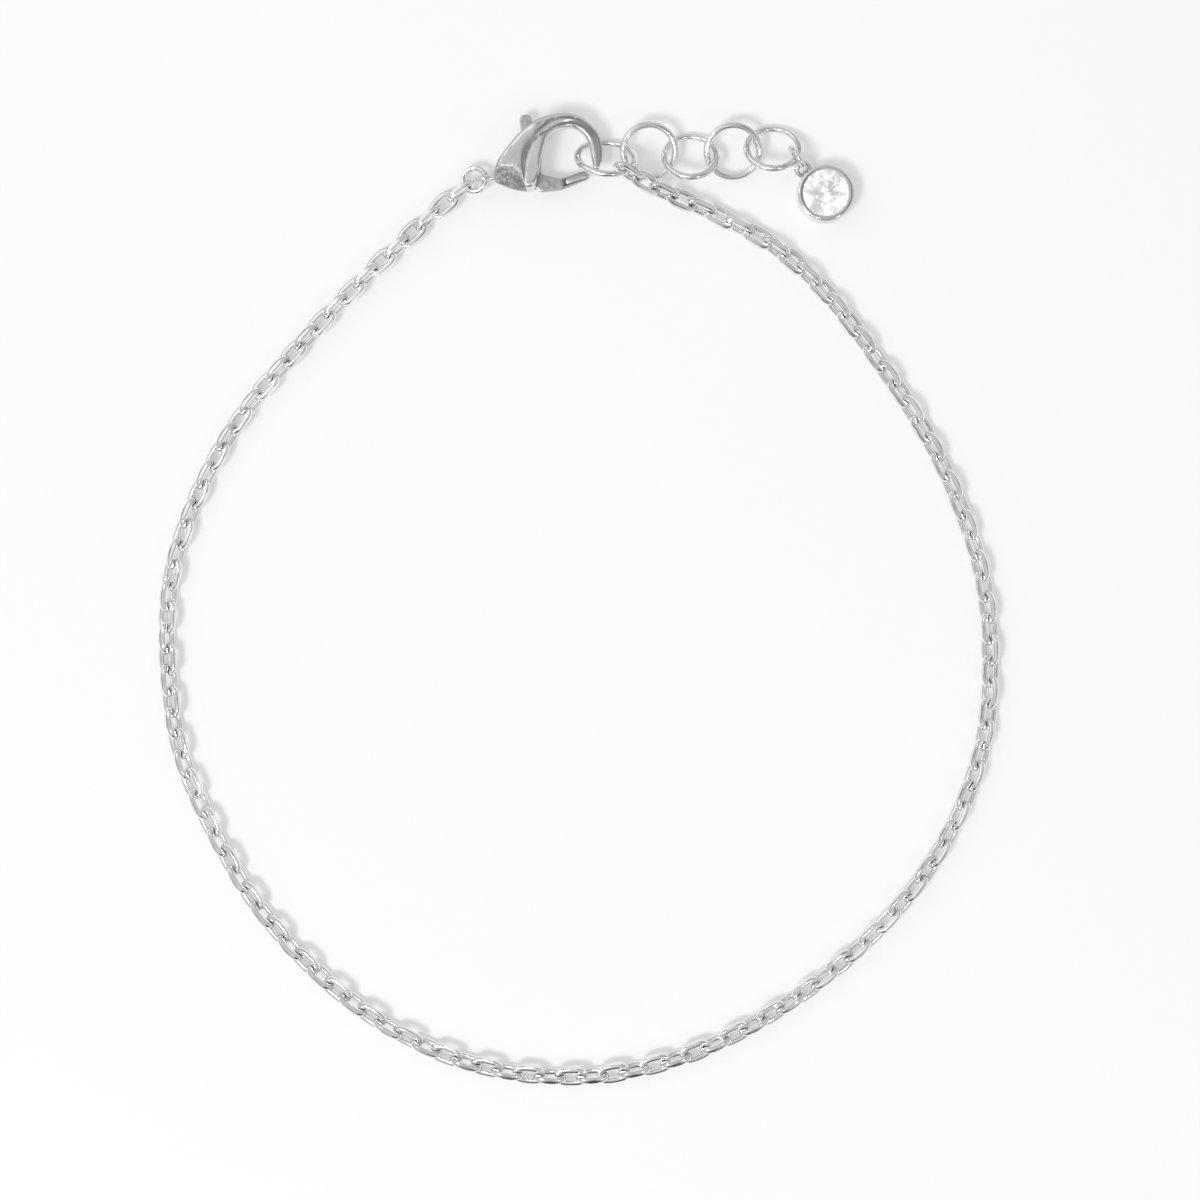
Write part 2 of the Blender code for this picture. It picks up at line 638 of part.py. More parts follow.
def build_drop_stone(root):
    """A round brilliant: an eight-sided table, crown, girdle and pavilion, as the hull of its corners."""
    radius = seat_radius() - STONE_GAP
    low = girdle_height()
    high = low + STONE_GIRDLE
    tiers = [(*tier, high, STONE_CROWN) for tier in CROWN_TIERS]
    tiers += [(*tier, low, -STONE_PAVILION) for tier in PAVILION_TIERS]
    points = []
    for corners, reach, height, turn, girdle, depth in tiers:
        for i in range(corners):
            angle = 2 * math.pi * (i + turn) / corners
            flat = reach * radius
            points.append((flat * math.cos(angle), flat * math.sin(angle), girdle + depth * height))
    shell = bmesh.new()
    for point in points:
        shell.verts.new(point)
    bmesh.ops.convex_hull(shell, input=shell.verts)
    mesh = bpy.data.meshes.new("drop_stone")
    shell.to_mesh(mesh)
    shell.free()
    stone = bpy.data.objects.new("drop_stone", mesh)
    bpy.context.scene.collection.objects.link(stone)
    stone.parent = root
    stone.matrix_local = drop_place()
    finish(stone, CLEAR_STONE, 0.02, 0.0)
    return stone


def centre_in_plan(root, pieces):
    """Moves the whole bracelet so that the middle of its box in plan is at the origin."""
    bpy.context.view_layer.update()
    reached = [piece.matrix_world @ vertex.co for piece in pieces for vertex in piece.data.vertices]
    middle = [(min(p[axis] for p in reached) + max(p[axis] for p in reached)) / 2 for axis in range(2)]
    root.location = (-middle[0], -middle[1], 0)


def main():
    clear_scene()
    root = bpy.data.objects.new("bracelet", None)
    bpy.context.scene.collection.objects.link(root)
    pieces = build_chain(root) + [build_jump_ring(root), build_clasp_body(root), build_clasp_lever(root)]
    pieces += build_extender(root)
    pieces += [build_drop_ring(root), build_drop_setting(root), build_drop_stone(root)]
    centre_in_plan(root, pieces)


main()
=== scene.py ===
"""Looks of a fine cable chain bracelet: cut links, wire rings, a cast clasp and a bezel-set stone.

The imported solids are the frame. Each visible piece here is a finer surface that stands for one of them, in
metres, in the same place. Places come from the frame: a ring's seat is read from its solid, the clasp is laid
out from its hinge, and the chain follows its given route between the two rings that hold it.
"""

import json
import math

import bpy
import numpy as np
from bpy.props import FloatProperty, FloatVectorProperty, IntProperty, PointerProperty
from bpy.types import Operator, Panel, PropertyGroup
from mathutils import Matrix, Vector
from mathutils.geometry import convex_hull_2d


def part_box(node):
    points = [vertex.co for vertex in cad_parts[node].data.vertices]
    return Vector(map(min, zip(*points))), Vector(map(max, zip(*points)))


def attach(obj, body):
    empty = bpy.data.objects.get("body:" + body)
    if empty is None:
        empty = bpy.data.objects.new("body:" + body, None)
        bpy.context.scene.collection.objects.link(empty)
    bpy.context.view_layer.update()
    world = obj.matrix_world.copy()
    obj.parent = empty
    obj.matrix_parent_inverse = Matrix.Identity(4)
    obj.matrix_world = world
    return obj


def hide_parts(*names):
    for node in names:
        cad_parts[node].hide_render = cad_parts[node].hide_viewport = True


bl_info = {
    "name": "Cable Chain Bracelet",
    "version": (1, 0, 0),
    "blender": (4, 5, 0),
    "location": "View3D > Sidebar > Bracelet",
    "description": "Builds the fine surfaces and finishes of a cable chain bracelet round its solids",
    "category": "Object",
}

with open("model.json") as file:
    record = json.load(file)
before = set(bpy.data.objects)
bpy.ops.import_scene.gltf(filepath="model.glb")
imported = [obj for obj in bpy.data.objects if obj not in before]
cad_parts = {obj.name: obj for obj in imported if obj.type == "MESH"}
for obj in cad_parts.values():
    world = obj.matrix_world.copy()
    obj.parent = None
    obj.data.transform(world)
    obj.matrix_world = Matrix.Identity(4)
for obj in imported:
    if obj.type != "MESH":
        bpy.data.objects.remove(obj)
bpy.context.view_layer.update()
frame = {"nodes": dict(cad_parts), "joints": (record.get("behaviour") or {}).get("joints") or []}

MM = 0.001

# The chain's route between its two rings: x, y and the height of its underside
ROUTE = np.array((
    (-8.8, 25.8, 0.0), (-11.1, 23.7, 0.0), (-15.2, 19.8, 0.0), (-18.9, 15.8, 0.0), (-22.3, 11.6, 0.0),
    (-24.9, 6.8, 0.0), (-26.6, 1.5, 0.0), (-26.8, -4.1, 0.0), (-26.0, -9.8, 0.0), (-23.8, -15.1, 0.0),
    (-20.8, -20.1, 0.0), (-16.8, -24.5, 0.0), (-11.9, -28.1, 0.0), (-6.1, -30.4, 0.0), (0.1, -31.0, 0.0),
    (6.1, -29.9, 0.0), (11.7, -27.4, 0.0), (16.6, -24.0, 0.0), (20.8, -20.0, 0.0), (24.1, -15.2, 0.0),
    (26.2, -9.8, 0.0), (26.8, -4.1, 0.0), (26.3, 1.4, 0.0), (24.6, 6.7, 0.0), (22.2, 11.5, 0.0),
    (19.2, 16.0, 0.0), (15.8, 20.3, 0.0), (12.6, 23.1, 0.0), (9.3, 24.9, 0.0), (7.9, 25.6, 0.05),
    (6.5, 26.1, 0.40), (4.5, 26.95, 1.25),
)) * MM
ROUTE_STEPS = 40
# How far the wider links lean from flat, in degrees, by share of the chain's length
LEANS = (
    # share, lean
    (0.05, 22), (0.15, 38), (0.38, 38), (0.50, 25), (0.62, 38), (0.85, 38), (0.93, 24),
)
# Where the chain's end links hold their rings, in degrees round each ring from its +X side
CHAIN_ANGLE_ON_JUMP_RING = 221
CHAIN_ANGLE_ON_FIRST_RING = -46
RING_CLEARANCE = 0.1 * MM
LINK_JOINT_GAP = 0.03 * MM
LINK_WIRE_SIDES = 5

# The clasp in plan: its tail corner on the route's own axes, its size, and its hinge as shares of that size
CLASP_TAIL = np.array((-5.62, 26.6)) * MM
CLASP_SIZE = np.array((7.12, 5.0)) * MM
CLASP_THICKNESS = 2.5 * MM
LEVER_PIVOT = np.array((0.349, 0.327))
PIVOT = np.array(frame["joints"][0]["pos_m"])

# Sections of the clasp from tail to hook tip. Edges are shares of CLASP_SIZE. Below and above are shares of
# half CLASP_THICKNESS. The crease is a share of the way from the outer edge to the inner one, the valley is
# how deep it lies, and the tilt is how far the face between it and the inner edge rises inwards.
CLASP_SECTIONS = (
    # outer_x, outer_y, inner_x, inner_y, below, above, crease, valley, tilt
    (0.004, 0.195, 0.004, 0.125, 0.30, 0.90, 1.00, 0.00, 0.00),
    (0.034, 0.340, 0.092, 0.075, 0.56, 0.98, 1.00, 0.00, 0.00),
    (0.092, 0.484, 0.202, 0.026, 0.84, 1.00, 1.00, 0.00, 0.00),
    (0.165, 0.615, 0.284, 0.009, 1.00, 1.00, 1.00, 0.02, 0.00),
    (0.239, 0.732, 0.358, 0.000, 1.00, 1.00, 0.52, 0.09, 0.00),
    (0.312, 0.824, 0.404, 0.079, 1.00, 1.00, 0.37, 0.09, 0.00),
    (0.385, 0.898, 0.425, 0.236, 1.00, 1.00, 0.36, 0.08, 0.00),
    (0.486, 0.961, 0.448, 0.432, 0.94, 0.94, 0.40, 0.08, 0.00),
    (0.587, 0.994, 0.491, 0.641, 0.80, 0.80, 0.50, 0.07, 0.02),
    (0.698, 1.000, 0.578, 0.765, 0.62, 0.62, 0.52, 0.06, 0.06),
    (0.799, 0.961, 0.716, 0.805, 0.46, 0.46, 0.45, 0.04, 0.12),
    (0.890, 0.863, 0.814, 0.736, 0.36, 0.36, 0.36, 0.02, 0.18),
    (0.962, 0.745, 0.856, 0.665, 0.30, 0.30, 0.32, 0.00, 0.22),
    (1.000, 0.588, 0.882, 0.549, 0.28, 0.28, 0.30, 0.00, 0.24),
    (1.004, 0.432, 0.896, 0.432, 0.28, 0.28, 0.30, 0.00, 0.22),
    (0.974, 0.301, 0.914, 0.321, 0.26, 0.26, 0.30, 0.00, 0.10),
)
# The rest of the clasp's section. Heights are shares of half its thickness: the foot of its outer wall, how far
# the wall and then the bevel rise from it, and the face that they reach
WALL_FOOT = 0.40
WALL_RISE = 0.42
BEVEL_RISE = 0.15
FACE_HEIGHT = 0.97
# Widths as shares of the rim's: the rounded wall, and the groove's place and reach
WALL_WIDTH = 0.15
GROOVE_PLACE = 1.15
GROOVE_REACH = 0.14
# The widest that the rim may be, as a share of the way to the crease, and the cheek, of the whole section
RIM_LIMIT = 0.4
CHEEK_LIMIT = 0.55
# Where the climb past the crease ends, as a share of what is left there, and where the tilt ends
CLIMB_END = 0.80
TILT_END = 0.72
# The tail's rough lower facet: it starts under a level line, left of a line that runs down to the fold's foot
FACET_TOP = 0.30
FACET_SIDE = (
    # share of CLASP_SIZE across at FACET_TOP, and at the foot
    0.245, 0.306,
)
# How softly the facet begins, as a share of CLASP_SIZE across, and the most of the surface that it cuts away
FACET_FADE = 0.08
FACET_LIMIT = 0.8
# How softly its painted shade, pits and rougher polish begin, and where the tail's eye ends, as a share of
# CLASP_SIZE across
FACET_MASK_FADE = 0.08 * MM
EYE_END = 0.02

# Outline of the lever's plate in shares of CLASP_SIZE: thumb tab, then down past the hinge and along the gate
TAB_OUTLINE = (
    (0.413, 0.379), (0.351, 0.955), (0.330, 1.000), (0.261, 0.996), (0.243, 0.948), (0.284, 0.366),
)
ARM_OUTLINE = ((0.303, 0.222), (0.376, 0.066), (0.431, -0.010), (0.615, 0.020))
GATE_OUTLINE = (
    (0.661, 0.039), (0.854, 0.151), (0.880, 0.200), (0.868, 0.258), (0.789, 0.255), (0.716, 0.209),
)
ARM_TOP_OUTLINE = ((0.615, 0.164), (0.445, 0.222))
# The gate's rounded bar, from the plate to its end
GATE_BAR = ((0.690, 0.128), (0.838, 0.207))
LEVER_ROUGHNESS = 0.3
# Degrees round a plate's rounded edge, and round the quarter circle that closes each end of the casting
EDGE_ANGLES = (0, 30, 60, 90)
CAP_ANGLES = (25, 50, 70, 85)
# The furthest that a rounded corner may reach, as a share of an edge, and its steps
CORNER_LIMIT = 0.45
CORNER_STEPS = 6
HINGE_CORNERS = 24
MARGIN_CORNERS = 12

# The bezel cup's turned profile, from the middle of its floor out and down to the middle of its underside
CUP_PROFILE = (
    # share of the setting's radius, height in shares of the setting's height
    (0.000, 0.161), (0.820, 0.161), (0.832, 0.230), (0.838, 0.800), (0.800, 0.925), (0.802, 0.965),
    (0.815, 0.985), (0.870, 1.002), (0.925, 1.000), (0.960, 0.985), (0.984, 0.945), (0.996, 0.885),
    (1.000, 0.810), (1.000, 0.120), (0.985, 0.040), (0.945, 0.000), (0.000, 0.000),
)

# Where each ring's wire ends meet, in degrees round it from its +X side
SEAMS = {
    "jump_ring": 75, "extender_ring_1": 205, "extender_ring_2": 118, "extender_ring_3": 262,
    "extender_ring_4": 64, "extender_ring_5": 295, "drop_ring": 140,
}
# Waves round a ring in which its wire swells and thins, and places of points near its seam, in seam gaps
SLOW_WAVES = (5, 9, 13)
SEAM_POINTS = (-1.6, -0.8, 0.8, 1.6)

# How many of the setting's furthest corners show where its eye is
FAR_CORNERS = 12

# How deep dents and scratches are in each polish, as a share of the metal's own depths
GRAIN = {
    "cut_silver": 1.0, "wire_silver": 0.7, "cast_silver": 0.6, "tumbled_shaded_silver": 2.2, "bezel_silver": 0.5,
}
# The darker clouds in each polish, as a share of its own tone
CLOUD_SHARE = 0.88

# Directions of the small lights, in degrees: azimuth from +X, and elevation
SPARKS = {"right": (-48, 50), "left": (160, 52), "front": (-104, 66)}
KEY_DISTANCE = 1.2
SPARK_DISTANCE = 0.6


def smooth_curve(rows, steps):
    """Points on a curve that passes smoothly through every row.

    Between two rows the curve is the cubic whose slope at each row is half the step between its neighbours.
    """
    rows = np.asarray(rows, float)
    padded = np.vstack([2 * rows[0] - rows[1], rows, 2 * rows[-1] - rows[-2]])
    t = np.linspace(0, 1, steps, endpoint=False)[:, None, None]
    before, start, end, after = (padded[i : len(padded) - 3 + i] for i in range(4))
    slope = (end - before) * t
    bend = (2 * before - 5 * start + 4 * end - after) * t**2
    twist = (3 * start - before - 3 * end + after) * t**3
    points = (2 * start + slope + bend + twist) / 2
    return np.vstack([points.transpose(1, 0, 2).reshape(-1, rows.shape[1]), rows[-1:]])


def unit(vectors):
    """The same directions at length one."""
    vectors = np.asarray(vectors, float)
    return vectors / np.linalg.norm(vectors, axis=-1, keepdims=True)


def circle(count, offset=0.0, start=0.0):
    """Points of the unit circle at even steps from a start in radians, turned on by an offset in steps."""
    turn = start + 2 * np.pi * (np.arange(count) + offset) / count
    return np.stack([np.cos(turn), np.sin(turn)], axis=1)


def superellipse(count, squareness):
    """Points of a unit superellipse and its outward slopes there.

    Each is a circle's point at half steps with its sine and cosine raised to a power, and their signs kept.
    """
    around = circle(count, 0.5)
    power = 2 / squareness
    return tuple(np.sign(around) * abs(around) ** p for p in (power, 2 - power))


def grid_faces(rows, columns, wrap_rows=True):
    """Quads between the points of a grid of rows, each a closed loop, numbered row * columns + column."""
    row = np.arange(rows if wrap_rows else rows - 1)[:, None]
    column = np.arange(columns)[None, :]
    next_row, next_column = (row + 1) % rows * columns, (column + 1) % columns
    row = row * columns
    corners = (row + column, next_row + column, next_row + next_column, row + next_column)
    return np.stack(corners, axis=-1).reshape(-1, 4)


def turned_out(points, faces):
    """The faces with every one turned round if their shell encloses a negative volume, corner by corner."""
    fans = [face[[0, i, i + 1]] for face in map(np.asarray, faces) for i in range(1, len(face) - 1)]
    a, b, c = (points[np.array(fans)[:, i]] for i in range(3))
    volume = np.einsum("ij,ij->i", a, np.cross(b, c)).sum()
    return [tuple(int(i) for i in (face if volume > 0 else face[::-1])) for face in faces]


def new_object(name, data):
    """An object in the scene, in place of an earlier one, so that an operator can run again."""
    if name in bpy.data.objects:
        bpy.data.objects.remove(bpy.data.objects[name], do_unlink=True)
    made = bpy.data.objects.new(name, data)
    bpy.context.scene.collection.objects.link(made)
    return made


def shade(piece, sharp_angle):
    """Smooth shading. Faces that meet past the angle, in degrees, keep a sharp edge."""
    piece.data.shade_smooth()
    piece.data.set_sharp_from_angle(angle=math.radians(sharp_angle))
    return piece


def new_piece(name, points, faces):
    """A mesh object with its place in its points."""
    mesh = bpy.data.meshes.new(name)
    mesh.from_pydata(points.tolist(), [], [tuple(face) for face in faces])
    return new_object(name, mesh)


def closed_piece(name, loops):
    """A skin through a stack of closed loops of points, with a flat face over the first and the last."""
    rows, columns = loops.shape[:2]
    loop = np.arange(columns)
    points = loops.reshape(-1, 3)
    faces = [*grid_faces(rows, columns, wrap_rows=False), loop[::-1], loop + (rows - 1) * columns]
    return new_piece(name, points, turned_out(points, faces))


def at_heights(loops, heights):
    """Flat loops of points, each lifted to its own height."""
    levels = np.broadcast_to(np.asarray(heights)[:, None, None], (*loops.shape[:2], 1))
    return np.concatenate([loops, levels], axis=2)


def dress(piece, body, node, finish):
    """Puts a finished piece in place of its solid, on that solid's body, with its material."""
    piece.data.materials.clear()
    piece.data.materials.append(finish)
    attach(piece, body)
    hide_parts(node)
    return piece


def cut_and_joined(piece, cutters=(), joins=()):
    """The piece after its Boolean cuts and unions are worked out, with the helper shapes removed."""
    for operation, others in (("DIFFERENCE", cutters), ("UNION", joins)):
        for other in others:
            modifier = piece.modifiers.new(other.name, "BOOLEAN")
            modifier.operation = operation
            modifier.solver = "EXACT"
            modifier.object = other
    evaluated = piece.evaluated_get(bpy.context.evaluated_depsgraph_get())
    mesh = bpy.data.meshes.new_from_object(evaluated)
    piece.modifiers.clear()
    piece.data = mesh
    for other in (*cutters, *joins):
        bpy.data.objects.remove(other, do_unlink=True)


def node_corners(node):
    """The different corners of a solid, one row each."""
    mesh = frame["nodes"][node].data
    corners = np.empty(len(mesh.vertices) * 3, np.float32)
    mesh.vertices.foreach_get("co", corners)
    return np.unique(np.round(corners.reshape(-1, 3).astype(float), 7), axis=0)


def ring_seat(node):
    """A ring's centre, its two axes in its own plane, its normal and the radius of its wire's middle line.

    The normal is the way in which its corners spread least, turned upwards. The first axis is +X laid into
    the ring's plane. The radius is halfway between the nearest and the furthest corner.
    """
    corners = node_corners(node)
    centre = corners.mean(axis=0)
    normal = np.linalg.svd(corners - centre)[2][2]
    normal *= 1 if normal[2] > 0 else -1
    first = unit(np.array((1.0, 0.0, 0.0)) - normal * normal[0])
    second = np.cross(normal, first)
    flat = np.hypot((corners - centre) @ first, (corners - centre) @ second)
    return centre, first, second, normal, (flat.min() + flat.max()) / 2


def clasp_point(share):
    """A point of the clasp in plan from its shares, measured from the hinge."""
    return PIVOT[:2] + (np.asarray(share, float) - LEVER_PIVOT) * CLASP_SIZE


def route_shift():
    """How far the solids stand from the route's own axes, which put the bracelet's middle at the origin."""
    return PIVOT[:2] - (CLASP_TAIL + LEVER_PIVOT * CLASP_SIZE)


def lean_across_wire(along, wire_direction):
    """The turn about its length that sets a link square across a ring's wire, in degrees."""
    along = unit(along)
    side = unit(np.cross((0, 0, 1), along))
    up = np.cross(along, side)
    return math.degrees(math.atan2(-wire_direction @ side, wire_direction @ up))


def nearest_turn(degrees, target, step):
    """The angle that equals another up to whole steps and lies nearest a target."""
    return degrees + step * round((target - degrees) / step)


def chain_end(node, ring_wire, link, degrees, next_point, way):
    """Where the chain's end link holds a ring, and that link's turn in degrees."""
    centre, first, second, _, radius = ring_seat(node)
    turn = math.radians(degrees)
    point = centre + radius * (math.cos(turn) * first + math.sin(turn) * second)
    wire_direction = math.cos(turn) * second - math.sin(turn) * first
    onward = np.append(next_point[:2] + route_shift(), next_point[2] + link.width / 2) - point
    slant = abs(unit(onward) @ wire_direction)
    squareness = math.sqrt(1 - slant**2)
    reach = RING_CLEARANCE + (ring_wire / 2 + link.wire / 2 * slant) / squareness - LINK_JOINT_GAP / 2
    return point - unit(onward) * reach, lean_across_wire(way * onward, wire_direction)


def chain_joints(link, rings):
    """The points where each link meets the next, and every link's turn about its own length in radians.

    The links share the length of a smooth curve through the route equally. Each is turned a quarter turn from
    the last, on top of a lean that runs evenly between the rows of LEANS.
    """
    first, first_turn = chain_end(
        "jump_ring", rings.jump_ring_wire, link, CHAIN_ANGLE_ON_JUMP_RING, ROUTE[0], 1
    )
    last, last_turn = chain_end(
        "extender_ring_1", rings.wire, link, CHAIN_ANGLE_ON_FIRST_RING, ROUTE[-1], -1
    )
    leans = np.array(LEANS, float)
    start_lean = nearest_turn(first_turn, leans[0, 1] + 90, 180) - 90
    lying = np.column_stack([ROUTE[:, :2] + route_shift(), ROUTE[:, 2] + link.width / 2])
    curve = smooth_curve(np.vstack([first, lying, last]), ROUTE_STEPS)
    arc = np.concatenate([[0], np.cumsum(np.linalg.norm(np.diff(curve, axis=0), axis=1))])
    inner_length = link.length - link.wire * (1 + math.cos(math.pi / LINK_WIRE_SIDES))
    pitch = inner_length - LINK_JOINT_GAP
    count = 2 * round((arc[-1] / pitch - 1) / 2) + 1
    marks = np.linspace(0, arc[-1], count + 1)
    joints = np.stack([np.interp(marks, arc, curve[:, axis]) for axis in range(3)], axis=1)
    standing = np.arange(count) % 2 == 0
    end_lean = nearest_turn(last_turn - 90 * standing[-1], leans[-1, 1], 180)
    shares = np.concatenate([[0], leans[:, 0], [1]])
    degrees = np.concatenate([[start_lean], leans[:, 1], [end_lean]])
    lean = np.interp((np.arange(count) + 0.5) / count, shares, degrees)
    at_joint = np.radians(np.interp(np.arange(count + 1) / count, shares, degrees))
    flatness = np.maximum(abs(np.sin(at_joint)), abs(np.cos(at_joint)))
    settled = (link.width - link.wire) / 2 * (1 - flatness)
    settled[[0, -1]] = 0
    joints[:, 2] -= settled
    return joints, np.radians(lean + 90 * standing)


def link_surface(link, pitch):
    """One cut link about its own middle, as a grid of points and its faces.

    The middle line is a superellipse, long enough for neighbouring wires to meet. The wire's section is one
    too, and every point past the flat cuts on the link's two long sides is pressed onto them.
    """
    half = np.array((pitch / 2 + link.wire / 2 + link.play / 2, (link.width - link.wire) / 2))
    line, slope = superellipse(link.corners, link.squareness)
    section, _ = superellipse(link.wire_sides, link.wire_squareness)
    reach, rise = link.wire / 2 * section.T
    flat = (half * line)[:, None, :] + reach[None, :, None] * unit(slope / half)[:, None, :]
    cut = half[1] + link.wire / 2 * link.cut
    height = np.broadcast_to(rise, flat.shape[:2])
    points = np.stack([flat[:, :, 0], np.clip(flat[:, :, 1], -cut, cut), height], axis=-1)
    return points.reshape(-1, 3), grid_faces(link.corners, link.wire_sides)


def link_run(name, joints, turns, link):
    """A run of separate links, the one link surface carried to every place along the joints at once.

    Each place has its own axes: along from joint to joint, across at the link's turn, and the two's normal.
    """
    along = unit(np.diff(joints, axis=0))
    side = unit(np.cross((0, 0, 1), along))
    up = np.cross(along, side)
    across = np.cos(turns)[:, None] * side + np.sin(turns)[:, None] * up
    axes = np.stack([along, across, np.cross(along, across)], axis=1)
    pitch = np.linalg.norm(np.diff(joints, axis=0), axis=1).mean()
    shape, faces = link_surface(link, pitch)
    middles = (joints[1:] + joints[:-1]) / 2
    points = np.einsum("vi,lij->lvj", shape, axes) + middles[:, None, :]
    starts = np.arange(len(middles))[:, None, None] * len(shape)
    faces = (np.array(turned_out(shape, faces))[None] + starts).reshape(-1, 4)
    return shade(new_piece(name, points.reshape(-1, 3), faces), link.sharp)


def build_chain(settings):
    """Every link of the chain, in the two runs that the solids have."""
    link, rings = settings.chain, settings.rings
    joints, turns = chain_joints(link, rings)
    sway = np.random.default_rng(link.seed).normal(0, math.radians(link.sway), len(turns))
    sway[[0, 1, -2, -1]] = 0
    turns = turns + sway
    middle = len(turns) // 2
    finish = polished_metal("cut_silver", settings.metal, settings.metal.chain_colour, link.roughness)
    for name, node, part in (
        ("chain_links_left", "chain_left", slice(0, middle)),
        ("chain_links_right", "chain_right", slice(middle, len(turns))),
    ):
        run = link_run(name, joints[part.start : part.stop + 1], turns[part], link)
        dress(run, "root", node, finish)


def wire_ring(name, seat, wire, seam_degrees, rings, seed):
    """A round ring of wire whose two ends meet at a fine seam.

    A point is the centre plus, along the radial direction, the ring's radius and the wire's cosine, and along
    the normal the wire's sine. The wire's radius swells and thins a little round the ring as three slow waves
    and faceted flats, and falls away within the seam.
    """
    centre, first, second, normal, radius = seat
    near = rings.seam_gap / radius * np.array(SEAM_POINTS)
    around = np.union1d(np.linspace(0, 2 * np.pi, rings.corners, endpoint=False), near % (2 * np.pi))
    gap = np.minimum(around, 2 * np.pi - around) * radius
    section = 2 * np.pi * np.arange(rings.wire_sides) / rings.wire_sides
    phase = np.random.default_rng(seed).uniform(0, 2 * np.pi, 4)
    waves = sum(np.sin(count * around + start) for count, start in zip(SLOW_WAVES, phase))
    twist = np.cos(3 * section[None, :] + 2 * around[:, None] + phase[3])
    size = wire / 2 * (1 + rings.unevenness * (waves[:, None] / 3 + twist))
    size *= 1 - rings.seam_depth * (gap < rings.seam_gap)[:, None]
    turn = around + math.radians(seam_degrees)
    radial = np.cos(turn)[:, None] * first + np.sin(turn)[:, None] * second
    reach = radius + size * np.cos(section)
    points = centre + reach[:, :, None] * radial[:, None, :] + (size * np.sin(section))[:, :, None] * normal
    points = points.reshape(-1, 3)
    faces = turned_out(points, grid_faces(len(around), rings.wire_sides))
    return shade(new_piece(name, points, faces), rings.sharp)


def build_rings(settings):
    """The extender's five rings and the two jump rings, each at its solid's own seat."""
    rings = settings.rings
    finish = polished_metal("wire_silver", settings.metal, settings.metal.ring_colour, rings.roughness)
    wires = {"jump_ring": rings.jump_ring_wire, "drop_ring": rings.drop_ring_wire}
    for seed, (node, seam_degrees) in enumerate(SEAMS.items()):
        wire = wires.get(node, rings.wire)
        ring = wire_ring(f"{node}_wire", ring_seat(node), wire, seam_degrees, rings, seed)
        dress(ring, "root", node, finish)


def prism(name, outline, low, high):
    """An upright prism over a flat outline."""
    return closed_piece(name, at_heights(np.stack([outline, outline]), (low, high)))


def lever_heights(clasp):
    """The underside and top of the lever's plate."""
    middle = CLASP_THICKNESS / 2 - clasp.lever_drop
    return middle - clasp.lever_thickness / 2, middle + clasp.lever_thickness / 2


def slot_outline(shares, margin, extra=()):
    """What a plate covers as it turns about the hinge through its travel, with a margin, as a convex hull."""
    travel = math.radians(frame["joints"][0]["range_deg"][1])
    flat = np.vstack([clasp_point(shares) - PIVOT[:2], *extra])
    turned = []
    for angle in (0, travel / 2, travel):
        turn = np.array(((math.cos(angle), math.sin(angle)), (-math.sin(angle), math.cos(angle))))
        turned.append((flat @ turn)[:, None, :] + margin * circle(MARGIN_CORNERS)[None, :, :])
    reached = np.concatenate(turned).reshape(-1, 2) + PIVOT[:2]
    return reached[convex_hull_2d([Vector(point) for point in reached])]


def clasp_profile(clasp, rows, across, span):
    """The clasp's surface away from its middle, as shares of the half depth, for each row and column.

    It rises round the outer wall as a quarter circle and up a straight bevel, dips in a fine groove, and
    falls ever faster towards the crease. Past the crease it climbs to the ridge, ever more slowly, as a
    square. Within the cheek's width of the inner edge it falls away as a superellipse.
    """
    crease, valley, tilt = (rows[:, i : i + 1] for i in (6, 7, 8))
    rim = np.minimum(clasp.rim, RIM_LIMIT * crease * span)
    from_rim = across * span / rim
    wall = np.clip(from_rim / WALL_WIDTH, 0, 1)
    height = WALL_FOOT + WALL_RISE * np.sqrt(1 - (1 - wall) ** 2) + BEVEL_RISE * np.clip(from_rim, 0, 1)
    height -= clasp.groove * np.exp(-(((from_rim - GROOVE_PLACE) / GROOVE_REACH) ** 2))
    to_crease = np.clip((across * span - rim) / (crease * span - rim), 0, 1)
    climb = np.clip((across - crease) / np.maximum(CLIMB_END * (1 - crease), 0.001), 0, 1)
    height -= valley * to_crease**4 * (1 - climb) ** 2
    height -= tilt * np.clip(TILT_END - across, 0, 1)
    fall = np.clip(1 - (1 - across) * span / np.minimum(clasp.cheek, CHEEK_LIMIT * span), 0, 1)
    return height * (1 - fall**clasp.cheek_squareness) ** (1 / clasp.cheek_squareness)


def with_tail_facet(clasp, height, above, flat):
    """The upper surface with the tail's lower facet, a sloping plane, cut below it."""
    share = (flat - PIVOT[:2]) / CLASP_SIZE + LEVER_PIVOT
    below = FACET_TOP - share[:, :, 1]
    side = FACET_SIDE[0] + (FACET_SIDE[1] - FACET_SIDE[0]) * np.clip(below / FACET_TOP, 0, 1)
    inside = np.clip((side - share[:, :, 0]) / FACET_FADE, 0, 1) * (below > 0)
    drop = clasp.facet_slope * below * CLASP_SIZE[1] / (CLASP_THICKNESS / 2 * above)
    return height - inside * np.clip(height - (FACE_HEIGHT - drop), 0, FACET_LIMIT * height)


